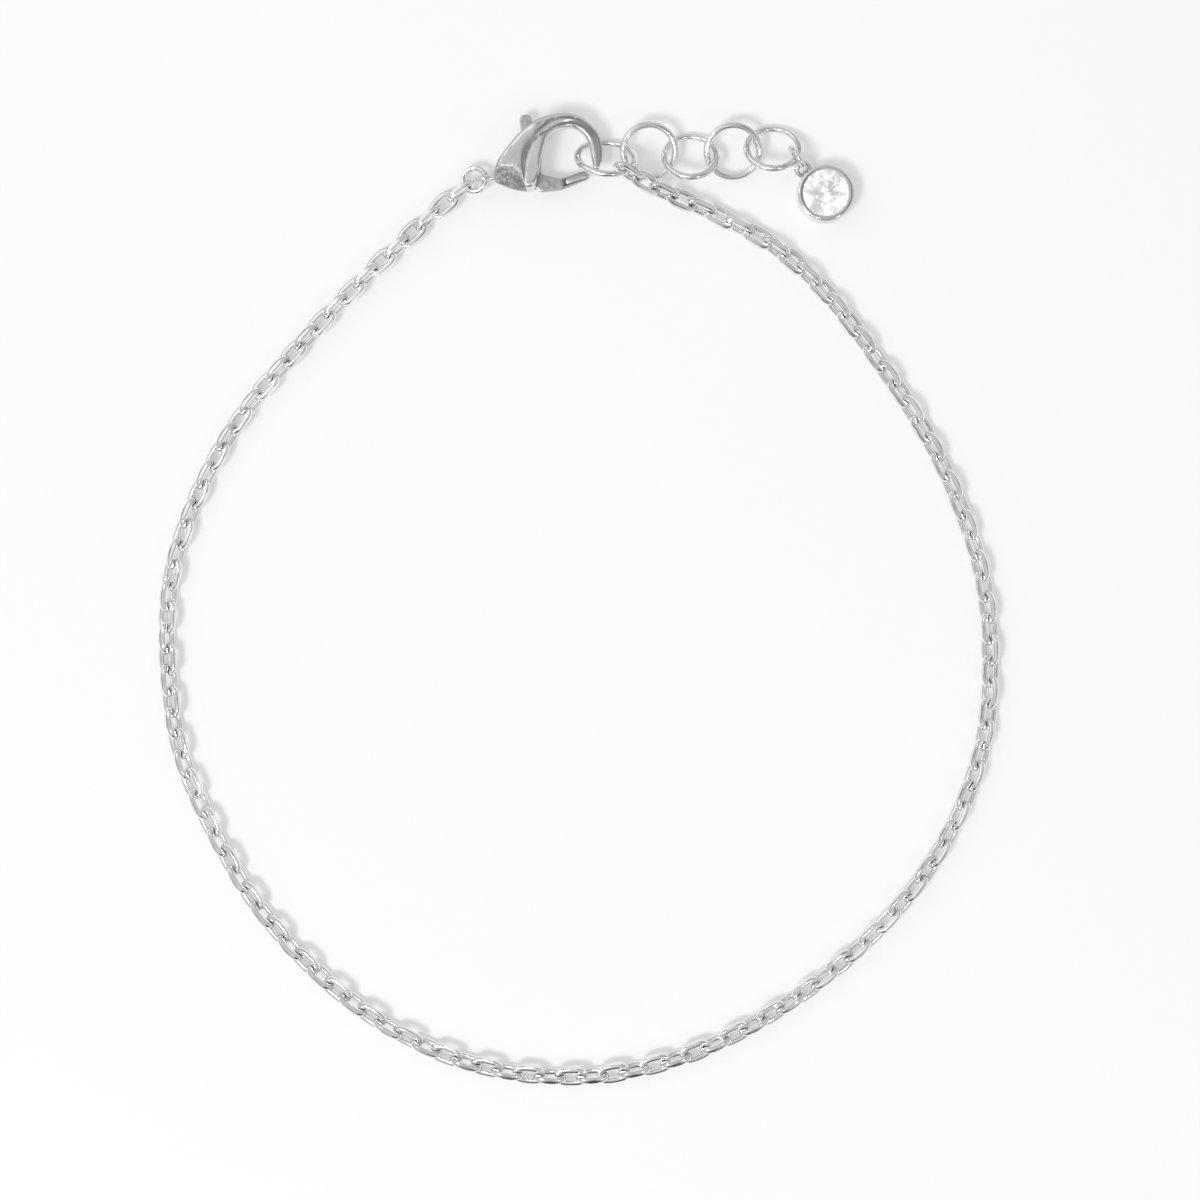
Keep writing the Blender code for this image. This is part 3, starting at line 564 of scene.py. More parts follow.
def clasp_surface(clasp):
    """The clasp's casting as closed loops: its section carried through the table's rows from tail to tip.

    Across the section, a point goes from the outer edge to the inner one by a share that moves as half a
    cosine wave, which sets points close at both edges. The upper surface comes back as the plainer lower one.
    Each end is closed by rows that shrink as a quarter circle.
    """
    rows = smooth_curve(CLASP_SECTIONS, clasp.steps)
    rows[:, 6] = np.minimum(rows[:, 6], 1)
    outer, inner = clasp_point(rows[:, 0:2]), clasp_point(rows[:, 2:4])
    span = np.linalg.norm(inner - outer, axis=1)[:, None]
    across = (1 - np.cos(np.linspace(0, np.pi, clasp.columns))) / 2
    flat = outer[:, None, :] + across[:, None] * (inner - outer)[:, None, :]
    below, above = rows[:, 4:5], rows[:, 5:6]
    top = with_tail_facet(clasp, clasp_profile(clasp, rows, across, span), above, flat)
    plain = rows.copy()
    plain[:, 7:9] = 0
    bottom = clasp_profile(clasp, plain, across, span)
    middle = np.zeros((len(rows), 1))
    height = np.hstack([middle, top * above, (-bottom * below)[:, -2::-1]])
    flat = np.concatenate([flat[:, :1], flat, flat[:, -2::-1]], axis=1)
    rise = CLASP_THICKNESS / 2 * (1 + height)
    skin = np.concatenate([flat, rise[:, :, None]], axis=2)
    caps = []
    for end, neighbour in ((0, 1), (-1, -2)):
        centre = skin[end].mean(axis=0)
        onward = unit(centre - skin[neighbour].mean(axis=0))
        reach = np.linalg.norm(skin[end] - centre, axis=1).min()
        angle = np.radians(CAP_ANGLES)[:, None, None]
        cap = centre + (skin[end] - centre) * np.cos(angle) + onward * reach * np.sin(angle)
        caps.append(cap[::-1] if end == 0 else cap)
    return np.concatenate([caps[0], skin, caps[1]])


def build_clasp(settings):
    """The clasp's casting with its slot, pin and tail eye."""
    clasp = settings.clasp
    casting = closed_piece("clasp_casting", clasp_surface(clasp))
    low, high = lever_heights(clasp)
    gap = clasp.clearance
    hub = clasp.hub / 2 * circle(HINGE_CORNERS)
    outlines = {
        "tab_slot": slot_outline(TAB_OUTLINE, gap),
        "gate_slot": slot_outline(ARM_OUTLINE + ARM_TOP_OUTLINE, gap, [hub]),
    }
    cutters = [prism(name, outline, low - gap, high + gap) for name, outline in outlines.items()]
    reach = gap + clasp.pin_seat
    pin = prism("pin", clasp.pin / 2 * circle(HINGE_CORNERS) + PIVOT[:2], low - reach, high + reach)
    tail = clasp_point(np.mean(np.reshape(CLASP_SECTIONS[0][:4], (2, 2)), axis=0))
    middle = np.array((tail[0] + clasp.eye_inset - clasp.eye / 2, tail[1], clasp.eye_height))
    seat = (middle, *np.array(((1.0, 0, 0), (0, 0, 1.0), (0, -1.0, 0))), (clasp.eye - clasp.eye_wire) / 2)
    eye = wire_ring("tail_eye", seat, clasp.eye_wire, 0, settings.rings, len(SEAMS))
    cut_and_joined(casting, cutters, [pin, eye])
    shade(casting, clasp.sharp)
    finish = polished_metal("cast_silver", settings.metal, settings.metal.clasp_colour, clasp.roughness)
    roughen_and_shade_tail(finish, clasp)
    dress(casting, "root", "clasp_body", finish)


def rounded_outline(corners, radius, steps):
    """A closed outline with each corner rounded: the curve from one edge to the next that bends towards it.

    It starts and ends at most the radius from the corner, and is the quadratic between those two points.
    """
    corners = np.asarray(corners, float)
    before, after = np.roll(corners, 1, axis=0) - corners, np.roll(corners, -1, axis=0) - corners
    ends = [
        side * np.minimum(radius / np.linalg.norm(side, axis=1), CORNER_LIMIT)[:, None]
        for side in (before, after)
    ]
    t = np.linspace(0, 1, steps)[None, :, None]
    points = corners[:, None, :] + (1 - t) ** 2 * ends[0][:, None, :] + t**2 * ends[1][:, None, :]
    return points.reshape(-1, 2)


def rounded_plate(name, outline, low, high, edge):
    """A plate over an outline with rounded edges: the outline drawn in along its normals near each face."""
    along = unit(np.roll(outline, -1, axis=0) - np.roll(outline, 1, axis=0))
    inward = np.stack([-along[:, 1], along[:, 0]], axis=1)
    area = (outline[:, 0] * np.roll(outline[:, 1], -1) - outline[:, 1] * np.roll(outline[:, 0], -1)).sum()
    inward *= 1 if area > 0 else -1
    angle = np.radians(EDGE_ANGLES)
    drawn_in = edge * (1 - np.concatenate([np.sin(angle), np.cos(angle)]))
    height = np.concatenate([low + edge * (1 - np.cos(angle)), high - edge * (1 - np.sin(angle))])
    loops = outline[None, :, :] + drawn_in[:, None, None] * inward[None, :, :]
    return closed_piece(name, at_heights(loops, height))


def capsule(name, start, end, radius, sides=20, rows=6, tip=0.06):
    """A round bar with domed ends: circles about the line, shrinking as a quarter circle at each end.

    The smallest circle lies the tip's angle from the pole, in radians, and is closed by a flat face.
    """
    along = unit(end - start)
    side = unit(np.cross((0, 0, 1), along))
    up = np.cross(along, side)
    dome = np.linspace(tip, np.pi / 2, rows)
    centres = np.vstack([
        start - radius * np.cos(dome)[:, None] * along,
        end + radius * np.cos(dome[::-1])[:, None] * along,
    ])
    widths = radius * np.concatenate([np.sin(dome), np.sin(dome[::-1])])
    cosine, sine = circle(sides).T[:, :, None]
    loop = cosine * side + sine * up
    return closed_piece(name, centres[:, None, :] + widths[:, None, None] * loop[None, :, :])


def build_lever(settings):
    """The clasp's lever: thumb tab, arm and gate in one rounded plate, with a round bar along the gate."""
    clasp = settings.clasp
    low, high = lever_heights(clasp)
    shares = np.array(TAB_OUTLINE + ARM_OUTLINE + GATE_OUTLINE + ARM_TOP_OUTLINE)
    outline = rounded_outline(clasp_point(shares), clasp.lever_corner, CORNER_STEPS)
    plate = rounded_plate("clasp_gate", outline, low, high, clasp.lever_edge)
    hub = prism("hub", clasp.hub / 2 * circle(HINGE_CORNERS) + PIVOT[:2], low, high)
    hole_radius = clasp.pin / 2 + clasp.clearance
    hole = prism("hole", hole_radius * circle(HINGE_CORNERS) + PIVOT[:2], low - MM, high + MM)
    start, end = (np.append(clasp_point(share), (low + high) / 2) for share in GATE_BAR)
    bar = capsule("gate_bar", start, end, clasp.gate_bar / 2)
    cut_and_joined(plate, (), [hub, bar])
    cut_and_joined(plate, [hole])
    shade(plate, clasp.sharp)
    # The lever's darker tone is painted shade for its place sunk between the casting's cheeks; its rougher
    # polish and deeper dents and scratches are its own.
    finish = polished_metal("tumbled_shaded_silver", settings.metal, settings.metal.lever_shaded_colour, LEVER_ROUGHNESS)
    dress(plate, "lever", "clasp_lever", finish)


def drop_seat():
    """The middle of the drop on the ground, and the direction from it to its eye."""
    low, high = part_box("drop_stone")
    centre = np.array(((low.x + high.x) / 2, (low.y + high.y) / 2))
    corners = node_corners("drop_setting")[:, :2] - centre
    far = corners[np.argsort(np.linalg.norm(corners, axis=1))[-FAR_CORNERS:]].mean(axis=0)
    return centre, unit(far)


def turned_cup(name, centre, radius, height, corners):
    """The bezel cup, turned: each point of the profile goes round the middle at its own radius and height."""
    shares, levels = np.array(CUP_PROFILE)[1:-1].T
    loops = centre + radius * shares[:, None, None] * circle(corners)[None, :, :]
    return closed_piece(name, at_heights(loops, height * levels))


def build_setting(settings):
    """The drop's bezel cup with the eye on its rim."""
    drop, rings = settings.drop, settings.rings
    centre, towards_eye = drop_seat()
    cup = turned_cup("bezel_cup", centre, drop.diameter / 2, drop.height, drop.corners)
    reach = drop.diameter / 2 + drop.eye / 2 - drop.eye_wire / 2 - drop.eye_sink
    rise = math.radians(drop.eye_rise)
    along = np.append(towards_eye * math.cos(rise), math.sin(rise))
    across = np.array((-towards_eye[1], towards_eye[0], 0.0))
    middle = np.append(centre + towards_eye * reach, drop.eye_height)
    seat = (middle, along, across, np.cross(along, across), (drop.eye - drop.eye_wire) / 2)
    eye = wire_ring("cup_eye", seat, drop.eye_wire, 180, rings, len(SEAMS) + 1)
    cut_and_joined(cup, (), [eye])
    shade(cup, drop.sharp)
    finish = polished_metal("bezel_silver", settings.metal, settings.metal.clasp_colour, rings.roughness)
    dress(cup, "root", "drop_setting", finish)


def brilliant(centre, girdle_z, direction, drop):
    """A round brilliant's corners and facets, each facet flat.

    Table corners and girdle corners share eight directions, and the star facets' corners lie halfway between
    them, on the straight line that keeps each kite flat. The pavilion's inner corners follow the same rule.
    """
    base = math.atan2(direction[1], direction[0])
    radius, girdle = drop.stone / 2, drop.girdle
    half_step = math.cos(math.pi / 8)

    def tier(count, share, z, offset):
        flat = centre + share * radius * circle(count, offset, base)
        return np.column_stack([flat, np.full(count, z)])

    upper, lower = girdle_z + girdle, girdle_z
    star_height = drop.crown * (1 - (drop.star * half_step - drop.table) / (1 - drop.table))
    inner_depth = drop.pavilion * (1 - drop.inner * half_step)
    points = np.vstack([
        tier(8, drop.table, upper + drop.crown, 0),
        tier(8, drop.star, upper + star_height, 0.5),
        tier(16, 1, upper, 0),
        tier(16, 1, lower, 0),
        tier(8, drop.inner, lower - inner_depth, 0.5),
        tier(1, 0, lower - drop.pavilion, 0),
    ])
    i = np.arange(8)
    nxt, prev = (i + 1) % 8, (i - 1) % 8
    table, star, top, rim, inner, culet = i, 8 + i, 16 + 2 * i, 32 + 2 * i, 48 + i, np.full(8, 56)
    top_mid, top_next, rim_mid, rim_next = top + 1, 16 + 2 * nxt, rim + 1, 32 + 2 * nxt
    facets = [tuple(table)]
    for corners in (
        (table, star, nxt),
        (table, 8 + prev, top, star),
        (star, top, top_mid),
        (star, top_mid, top_next),
        (top, rim, rim_mid, top_mid),
        (top_mid, rim_mid, rim_next, top_next),
        (rim, inner, rim_mid),
        (rim_mid, inner, rim_next),
        (rim, 48 + prev, culet, inner),
    ):
        facets += [tuple(row) for row in np.stack(corners, axis=1)]
    return points, facets


def build_stone(settings):
    """The drop's stone, cut as a round brilliant, clear above its girdle and foiled below it."""
    drop = settings.drop
    centre, towards_eye = drop_seat()
    low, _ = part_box("drop_stone")
    girdle_z = low.z + drop.pavilion
    points, facets = brilliant(centre, girdle_z, towards_eye, drop)
    middle = np.array((*centre, girdle_z))
    outward = [facet if faces_out(points[list(facet)], middle) else facet[::-1] for facet in facets]
    stone = new_piece("brilliant_stone", points, outward)
    mesh = stone.data
    # Random tones, one a facet, for the foil's tone and its painted glow
    tones = np.random.default_rng(drop.seed).uniform(0, 1, len(mesh.polygons))
    mesh.attributes.new("tone", "FLOAT", "FACE").data.foreach_set("value", tones)
    dress(stone, "root", "drop_stone", clear_stone(drop))
    mesh.materials.append(foil(drop))
    is_foil = [points[list(facet), 2].mean() < girdle_z for facet in outward]
    mesh.polygons.foreach_set("material_index", np.array(is_foil, np.int32))


def faces_out(corners, middle):
    """Whether a facet's corners run anticlockwise as seen from outside."""
    return np.cross(corners[1] - corners[0], corners[2] - corners[0]) @ (corners[0] - middle) > 0


def feed(tree, node, inputs):
    """Sets a node's inputs by name or number: a socket is linked, and anything else is the input's value."""
    for key, value in inputs.items():
        if isinstance(value, bpy.types.NodeSocket):
            tree.links.new(value, node.inputs[key])
        else:
            node.inputs[key].default_value = value


def socket(tree, kind, output, inputs=None, **settings):
    """One output of a new shader node, once its settings and inputs are in place."""
    node = tree.nodes.new(f"ShaderNode{kind}")
    for name, value in settings.items():
        setattr(node, name, value)
    feed(tree, node, inputs or {})
    return node.outputs[output]


def start_material(name):
    """An emptied node material and its tree."""
    made = bpy.data.materials.get(name) or bpy.data.materials.new(name)
    made.use_nodes = True
    made.node_tree.nodes.clear()
    return made, made.node_tree


def shade_with(tree, inputs):
    """The material's shader on its output."""
    shader = socket(tree, "BsdfPrincipled", "BSDF", inputs)
    feed(tree, tree.nodes.new("ShaderNodeOutputMaterial"), {"Surface": shader})


def noise(tree, vector, scale, detail, roughness=0.5):
    """A noise texture on the given coordinates, with its scale in waves a metre."""
    inputs = {"Vector": vector, "Scale": scale, "Detail": detail, "Roughness": roughness}
    return socket(tree, "TexNoise", "Fac", inputs)


def ranged(tree, value, low, high, new_low, new_high):
    """A value carried from one range to another, held inside the new one."""
    inputs = {"Value": value, "From Min": low, "From Max": high, "To Min": new_low, "To Max": new_high}
    return socket(tree, "MapRange", "Result", inputs)


def product(tree, first, second):
    """Two values multiplied."""
    return socket(tree, "Math", "Value", {0: first, 1: second}, operation="MULTIPLY")


def grey_ramp(tree, value, stops):
    """A grey that follows a value through the stops, each a position and a tone."""
    node = tree.nodes.new("ShaderNodeValToRGB")
    elements = node.color_ramp.elements
    for element, (position, grey) in zip(elements, (stops[0], stops[-1])):
        element.position = position
        element.color = (grey, grey, grey, 1.0)
    for position, grey in stops[1:-1]:
        elements.new(position).color = (grey, grey, grey, 1.0)
    feed(tree, node, {"Fac": value})
    return node.outputs["Color"]


def polished_metal(name, metal, colour, roughness):
    """Polished silver-tone metal: cloudy tone, fine scratches in the gloss, small dents in the surface."""
    made, tree = start_material(name)
    grain = GRAIN[name]
    place = socket(tree, "TexCoord", "Object")
    clouds = ranged(tree, noise(tree, place, metal.cloud_scale, 3.0), 0.35, 0.62, 0.0, 1.0)
    tones = {"Factor": clouds, "A": (*[CLOUD_SHARE * c for c in colour], 1.0), "B": (*colour, 1.0)}
    stretch = {"Vector": place, "Scale": (1.0, 6.0, 3.0), "Rotation": (0.3, 0.2, 0.7)}
    scratches = noise(tree, socket(tree, "Mapping", "Vector", stretch), metal.scratch_scale, 4.0, 0.7)
    dents = noise(tree, place, metal.dent_scale, 2.0)
    dented = socket(tree, "Bump", "Normal", {"Distance": metal.dent_depth * grain, "Height": dents})
    scratched = {"Distance": metal.scratch_depth * grain, "Height": scratches, "Normal": dented}
    shade_with(tree, {
        "Metallic": 1.0,
        "Base Color": socket(tree, "Mix", "Result", tones, data_type="RGBA"),
        "Roughness": ranged(tree, scratches, 0.35, 0.7, roughness * 0.7, roughness * 1.5),
        "Normal": socket(tree, "Bump", "Normal", scratched),
    })
    return made


def roughen_and_shade_tail(finish, clasp):
    """Pits and a rougher polish on the tail's lower facet, which was left as it came from the mould, and
    painted shade that darkens it.

    The facet is found by place: below its level top line, left of the line down to the fold's foot, and
    right of the tail's end, where the eye begins.
    """
    tree = finish.node_tree
    shader = next(node for node in tree.nodes if node.type == "BSDF_PRINCIPLED")
    clean = {name: shader.inputs[name].links[0].from_socket for name in ("Base Color", "Roughness", "Normal")}
    place = socket(tree, "TexCoord", "Object")
    x, y = (socket(tree, "SeparateXYZ", axis, {"Vector": place}) for axis in "XY")
    start, top = clasp_point((FACET_SIDE[0], FACET_TOP))
    end, _ = clasp_point((EYE_END, 0))
    lean = (FACET_SIDE[1] - FACET_SIDE[0]) * CLASP_SIZE[0] / (FACET_TOP * CLASP_SIZE[1])
    edge = start + lean * top
    slant = socket(tree, "Math", "Value", {0: y, 1: lean, 2: x}, operation="MULTIPLY_ADD")
    left = ranged(tree, slant, edge, edge + FACET_MASK_FADE, 1, 0)
    under = ranged(tree, y, top, top + FACET_MASK_FADE, 1, 0)
    past_eye = ranged(tree, x, end, end + 2 * FACET_MASK_FADE, 0, 1)
    inside = product(tree, product(tree, left, under), past_eye)
    pits = noise(tree, place, clasp.pit_scale, 5.0, 0.75)
    strength = product(tree, ranged(tree, pits, 0.38, 0.60, 1.0, 0.55), inside)
    # Painted shade: the facet's tone is darkened, mottled along the pits, for the shade on this downward-facing
    # facet. The darkening reaches a little past its top line and dims the highlight there.
    painted_facet_shade = {"Factor": strength, "A": clean["Base Color"], "B": (*[clasp.painted_facet_shade] * 3, 1.0)}
    dull = {0: product(tree, inside, clasp.tail_roughness), 1: clean["Roughness"]}
    pitted = {"Distance": clasp.pit_depth, "Strength": inside, "Height": pits, "Normal": clean["Normal"]}
    feed(tree, shader, {
        "Base Color": socket(tree, "Mix", "Result", painted_facet_shade, data_type="RGBA", blend_type="MULTIPLY"),
        "Roughness": socket(tree, "Math", "Value", dull, operation="MAXIMUM"),
        "Normal": socket(tree, "Bump", "Normal", pitted),
    })


def clear_stone(drop):
    """A clear cut stone, with the faintest haze inside it."""
    made, tree = start_material("clear_stone")
    haze = noise(tree, socket(tree, "TexCoord", "Object"), 900.0, 2.0)
    shade_with(tree, {
        "Base Color": (*drop.stone_colour, 1.0),
        "Transmission Weight": 1.0,
        "IOR": drop.stone_ior,
        "Roughness": ranged(tree, haze, 0.4, 0.7, 0.0, 0.02),
    })
    return made


def foil(drop):
    """The foil behind the stone, bright from a painted glow although it is no lamp, with its tone and glow a
    little different at random on each facet.
    """
    made, tree = start_material("stone_foil")
    tone = socket(tree, "Attribute", "Fac", attribute_name="tone")
    grey = grey_ramp(tree, tone, ((0.0, drop.foil_dark), (1.0, 1.0)))
    # Painted glow: the foil gives off light of its own, so that the stone reads bright
    shade_with(tree, {
        "Metallic": 1.0,
        "Roughness": 0.12,
        "Base Color": grey,
        "Emission Color": grey,
        "Emission Strength": drop.foil_painted_glow,
    })
    return made


def floor_finish(stage):
    """A smooth white board with a faint gloss, lit a little from below."""
    made, tree = start_material("white_board")
    clouds = noise(tree, socket(tree, "TexCoord", "Object"), 18.0, 2.0)
    shade_with(tree, {
        "Base Color": (*stage.floor_colour, 1.0),
        "Emission Color": (1.0, 1.0, 1.0, 1.0),
        "Emission Strength": stage.floor_glow,
        "IOR": 1.4,
        "Roughness": ranged(tree, clouds, 0.3, 0.7, 0.16, 0.24),
    })
    return made


def studio_air(stage):
    """The pale grey studio round the bracelet, with two dark patches and a bright one.

    A patch has its full share out to half its spread, and fades to nothing at 1.3 times its spread.
    """
    world = bpy.data.worlds.new("studio")
    bpy.context.scene.world = world
    world.use_nodes = True
    tree = world.node_tree
    tree.nodes.clear()
    direction = socket(tree, "TexCoord", "Generated")
    power = stage.air
    for azimuth, elevation, spread, share in (stage.right_patch, stage.front_patch, stage.left_patch):
        sides = {0: direction, 1: aimed(azimuth, elevation)}
        nearness = socket(tree, "VectorMath", "Value", sides, operation="DOT_PRODUCT")
        inner, outer = (math.cos(math.radians(spread * reach)) for reach in (0.5, 1.3))
        power = product(tree, ranged(tree, nearness, outer, inner, 1.0, share), power)
    height = socket(tree, "SeparateXYZ", "Z", {"Vector": direction})
    stops = ((0.0, stage.horizon), (0.35, stage.around), (0.85, stage.around), (0.97, stage.overhead))
    air = {"Color": grey_ramp(tree, height, stops), "Strength": power}
    air = socket(tree, "Background", "Background", air)
    feed(tree, tree.nodes.new("ShaderNodeOutputWorld"), {"Surface": air})


def aimed(azimuth, elevation):
    """A direction from its azimuth from +X and its elevation, in degrees."""
    turn, rise = math.radians(azimuth), math.radians(elevation)
    return Vector((math.cos(turn) * math.cos(rise), math.sin(turn) * math.cos(rise), math.sin(rise)))


def soft_light(name, azimuth, elevation, distance, size, power):
    """A square soft light aimed at the bracelet's middle, placed by its direction in degrees from +X."""
    towards = aimed(azimuth, elevation)
    data = bpy.data.lights.new(name, "AREA")
    data.size = size
    data.energy = power
    light = new_object(name, data)
    light.location = towards * distance
    light.rotation_euler = towards.to_track_quat("Z", "Y").to_euler()


def build_stage(settings):
    """Floor, studio, lights and camera."""
    stage = settings.stage
    half = stage.floor_size / 2
    corners = np.array(((-half, -half), (half, -half), (half, half), (-half, half)))
    board = new_piece("board", np.column_stack([corners, np.full(4, -stage.floor_drop)]), [(0, 1, 2, 3)])
    board.data.materials.append(floor_finish(stage))
    studio_air(stage)
    soft_light("key", stage.key_azimuth, stage.key_elevation, KEY_DISTANCE, stage.key_size, stage.key_power)
    for name, (azimuth, elevation) in SPARKS.items():
        soft_light(f"{name}_spark", azimuth, elevation, SPARK_DISTANCE, stage.spark_size, stage.spark_power)
    data = bpy.data.cameras.new("camera")
    data.lens = stage.lens
    data.sensor_width = 36
    data.clip_start = 0.005
    camera = new_object("camera", data)
    camera.location = (stage.view_x, stage.view_y, stage.view_width * stage.lens / data.sensor_width)
    scene = bpy.context.scene
    scene.camera = camera
    scene.view_settings.view_transform = "Standard"


def length(name, description, default):
    """A size in metres that the sidebar can change."""
    return FloatProperty(name=name, description=description, default=default, unit="LENGTH", precision=6)


def amount(name, description, default, **limits):
    """A plain number that the sidebar can change."""
    return FloatProperty(name=name, description=description, default=default, **limits)


def colour(name, description, default):
    """A colour that the sidebar can change."""
    return FloatVectorProperty(name=name, description=description, default=default, subtype="COLOR")


def whole(name, description, default):
    """A whole number that the sidebar can change."""
    return IntProperty(name=name, description=description, default=default)


def patch(name, default):
    """A darker or brighter patch of the studio's air that the sidebar can change."""
    description = "Azimuth, elevation and spread in degrees, and tone as a share of the rest"
    return FloatVectorProperty(name=name, description=description, default=default, size=4)


class BRACELET_PG_chain(PropertyGroup):
    """The links' sizes and cut."""

    length: length("Link length", "Outer length of a link", 2.18 * MM)
    width: length("Link width", "Outer width of a link", 1.42 * MM)
    wire: length("Link wire", "Thickness of a link's wire", 0.42 * MM)
    play: length("Play", "Room between two links' wires where they meet", 0.004 * MM)
    squareness: amount("Squareness", "Power of the oval: 2 is an ellipse, more is squarer", 2.7)
    wire_squareness: amount("Wire squareness", "Power of the wire's section: 2 is round", 2.6)
    cut: amount("Cut", "How far out the side cuts lie, as a share of the wire's radius", 0.80)
    sway: amount("Sway", "How far links differ in their turn, in degrees", 3.0)
    seed: whole("Seed", "Start of the links' random sway", 7)
    corners: whole("Corners", "Points along a link's wire", 28)
    wire_sides: whole("Wire sides", "Points round a link's wire", 12)
    sharp: amount("Sharp angle", "Edges past this many degrees stay sharp", 34)
    roughness: amount("Roughness", "Roughness of the links' polish", 0.13, min=0, max=1)


class BRACELET_PG_rings(PropertyGroup):
    """The rings' wire and how it is finished."""

    wire: length("Ring wire", "Diameter of an extender ring's wire", 0.44 * MM)
    jump_ring_wire: length("Jump ring wire", "Diameter of the wire at the clasp's tail", 0.38 * MM)
    drop_ring_wire: length("Drop ring wire", "Diameter of the wire that holds the drop", 0.32 * MM)
    seam_gap: length("Seam gap", "Half the width of the seam where a ring's ends meet", 0.014 * MM)
    seam_depth: amount("Seam depth", "Depth of the seam as a share of the wire's radius", 0.22)
    unevenness: amount("Unevenness", "How far the wire swells and thins", 0.025)
    corners: whole("Corners", "Points round a ring", 96)
    wire_sides: whole("Wire sides", "Points round a ring's wire", 16)
    sharp: amount("Sharp angle", "Edges past this many degrees stay sharp", 40)
    roughness: amount("Roughness", "Roughness of the rings' polish", 0.12, min=0, max=1)


class BRACELET_PG_clasp(PropertyGroup):
    """The clasp's casting and lever."""

    rim: length("Rim", "Width of the bevel along the outer edge", 0.35 * MM)
    groove: amount("Groove", "Depth of the groove inside the rim, as a share of the half depth", 0.03)
    cheek: length("Cheek", "Width over which the inner edge is rounded", 0.40 * MM)
    cheek_squareness: amount("Cheek squareness", "Power of the inner edge's rounding: 2 is round", 2.8)
    facet_slope: amount("Facet slope", "Fall of the tail's lower facet over its width", 0.62)
    pit_scale: amount("Pit scale", "Waves a metre in the pits of the tail's lower facet", 4200.0)
    pit_depth: length("Pit depth", "Depth of the pits", 0.05 * MM)
    tail_roughness: amount("Tail roughness", "Roughness of the tail's lower facet", 0.5, min=0, max=1)
    # Tone of the tail facet's painted shade, as a share of the metal's
    painted_facet_shade: amount("Stain", "Tone of the stains between the pits, as a share of the metal's", 0.26)
    eye: length("Tail eye", "Outer diameter of the eye at the tail", 1.32 * MM)
    eye_wire: length("Tail eye wire", "Thickness of the eye at the tail", 0.36 * MM)
    eye_height: length("Tail eye height", "Height of the eye's middle", 1.05 * MM)
    eye_inset: length("Tail eye inset", "How far the eye runs into the tail", 0.16 * MM)
    lever_thickness: length("Lever thickness", "Thickness of the lever's plate", 0.48 * MM)
    lever_drop: length("Lever drop", "How far the plate lies below the clasp's middle", 0.30 * MM)
    lever_edge: length("Lever edge", "Radius of the plate's edges", 0.09 * MM)
    lever_corner: length("Lever corner", "Radius of the plate's corners", 0.22 * MM)
    hub: length("Hub", "Diameter of the plate round its hinge", 1.3 * MM)
    pin: length("Pin", "Diameter of the hinge pin", 0.5 * MM)
    pin_seat: length("Pin seat", "How far the pin runs into each cheek", 0.35 * MM)
    clearance: length("Clearance", "Room round the lever", 0.1 * MM)
    gate_bar: length("Gate bar", "Diameter of the gate's round bar", 0.66 * MM)
    steps: whole("Steps", "Rows of the casting between two sections", 10)
    columns: whole("Columns", "Points across the casting", 30)
    sharp: amount("Sharp angle", "Edges past this many degrees stay sharp", 32)
    roughness: amount("Roughness", "Roughness of the casting's polish", 0.17, min=0, max=1)


class BRACELET_PG_drop(PropertyGroup):
    """The drop's cup, eye and stone."""

    diameter: length("Setting diameter", "Outer diameter of the bezel cup", 3.7 * MM)
    height: length("Setting height", "Height of the bezel cup", 1.55 * MM)
    eye: length("Eye", "Outer diameter of the cup's eye", 1.22 * MM)
    eye_wire: length("Eye wire", "Thickness of the cup's eye", 0.34 * MM)
    eye_height: length("Eye height", "Height of the eye's middle", 0.9 * MM)
    eye_sink: length("Eye sink", "How far the eye runs into the wall", 0.12 * MM)
    eye_rise: amount("Eye rise", "How far the eye tips up, in degrees", 30)
    stone: length("Stone", "Diameter of the stone's girdle", 3.0 * MM)
    crown: length("Crown", "Height of the stone above its girdle", 0.45 * MM)
    girdle: length("Girdle", "Thickness of the stone's girdle", 0.08 * MM)
    pavilion: length("Pavilion", "Depth of the stone below its girdle", 1.05 * MM)
    table: amount("Table", "Radius of the table as a share of the stone's", 0.56)
    star: amount("Star", "Radius of the star facets' corners as a share of the stone's", 0.80)
    inner: amount("Inner", "Radius of the pavilion's inner corners as a share of the stone's", 0.30)
    stone_ior: amount("Refraction", "Refractive index of the stone", 1.9)
    foil_dark: amount("Foil dark", "Tone of the darkest foil facet", 0.58)
    # Strength of the foil's painted glow, light that it gives off although it is no lamp
    foil_painted_glow: amount("Foil glow", "How much light the foil gathers", 0.40)
    seed: whole("Seed", "Start of the facets' random tones", 4)
    stone_colour: colour("Stone colour", "Tint of the stone", (0.98, 0.985, 0.99))
    corners: whole("Corners", "Points round the cup", 96)
    sharp: amount("Sharp angle", "Edges past this many degrees stay sharp", 36)


class BRACELET_PG_metal(PropertyGroup):
    """The metals' tones and the fine marks in their polish."""

    chain_colour: colour("Chain", "Tone of the links", (0.90, 0.90, 0.905))
    ring_colour: colour("Rings", "Tone of the rings", (0.85, 0.85, 0.855))
    clasp_colour: colour("Clasp", "Tone of the casting and the cup", (0.80, 0.80, 0.805))
    # The lever's tone is darker than the casting's as painted shade for its sunken place between the cheeks
    lever_shaded_colour: colour("Lever", "Tone of the lever", (0.54, 0.54, 0.545))
    cloud_scale: amount("Cloud scale", "Waves a metre in the metal's tone", 420.0)
    scratch_scale: amount("Scratch scale", "Waves a metre in the fine scratches", 5200.0)
    scratch_depth: length("Scratch depth", "Depth of the fine scratches", 0.0006 * MM)
    dent_scale: amount("Dent scale", "Waves a metre in the small dents", 1700.0)
    dent_depth: length("Dent depth", "Depth of the small dents", 0.022 * MM)


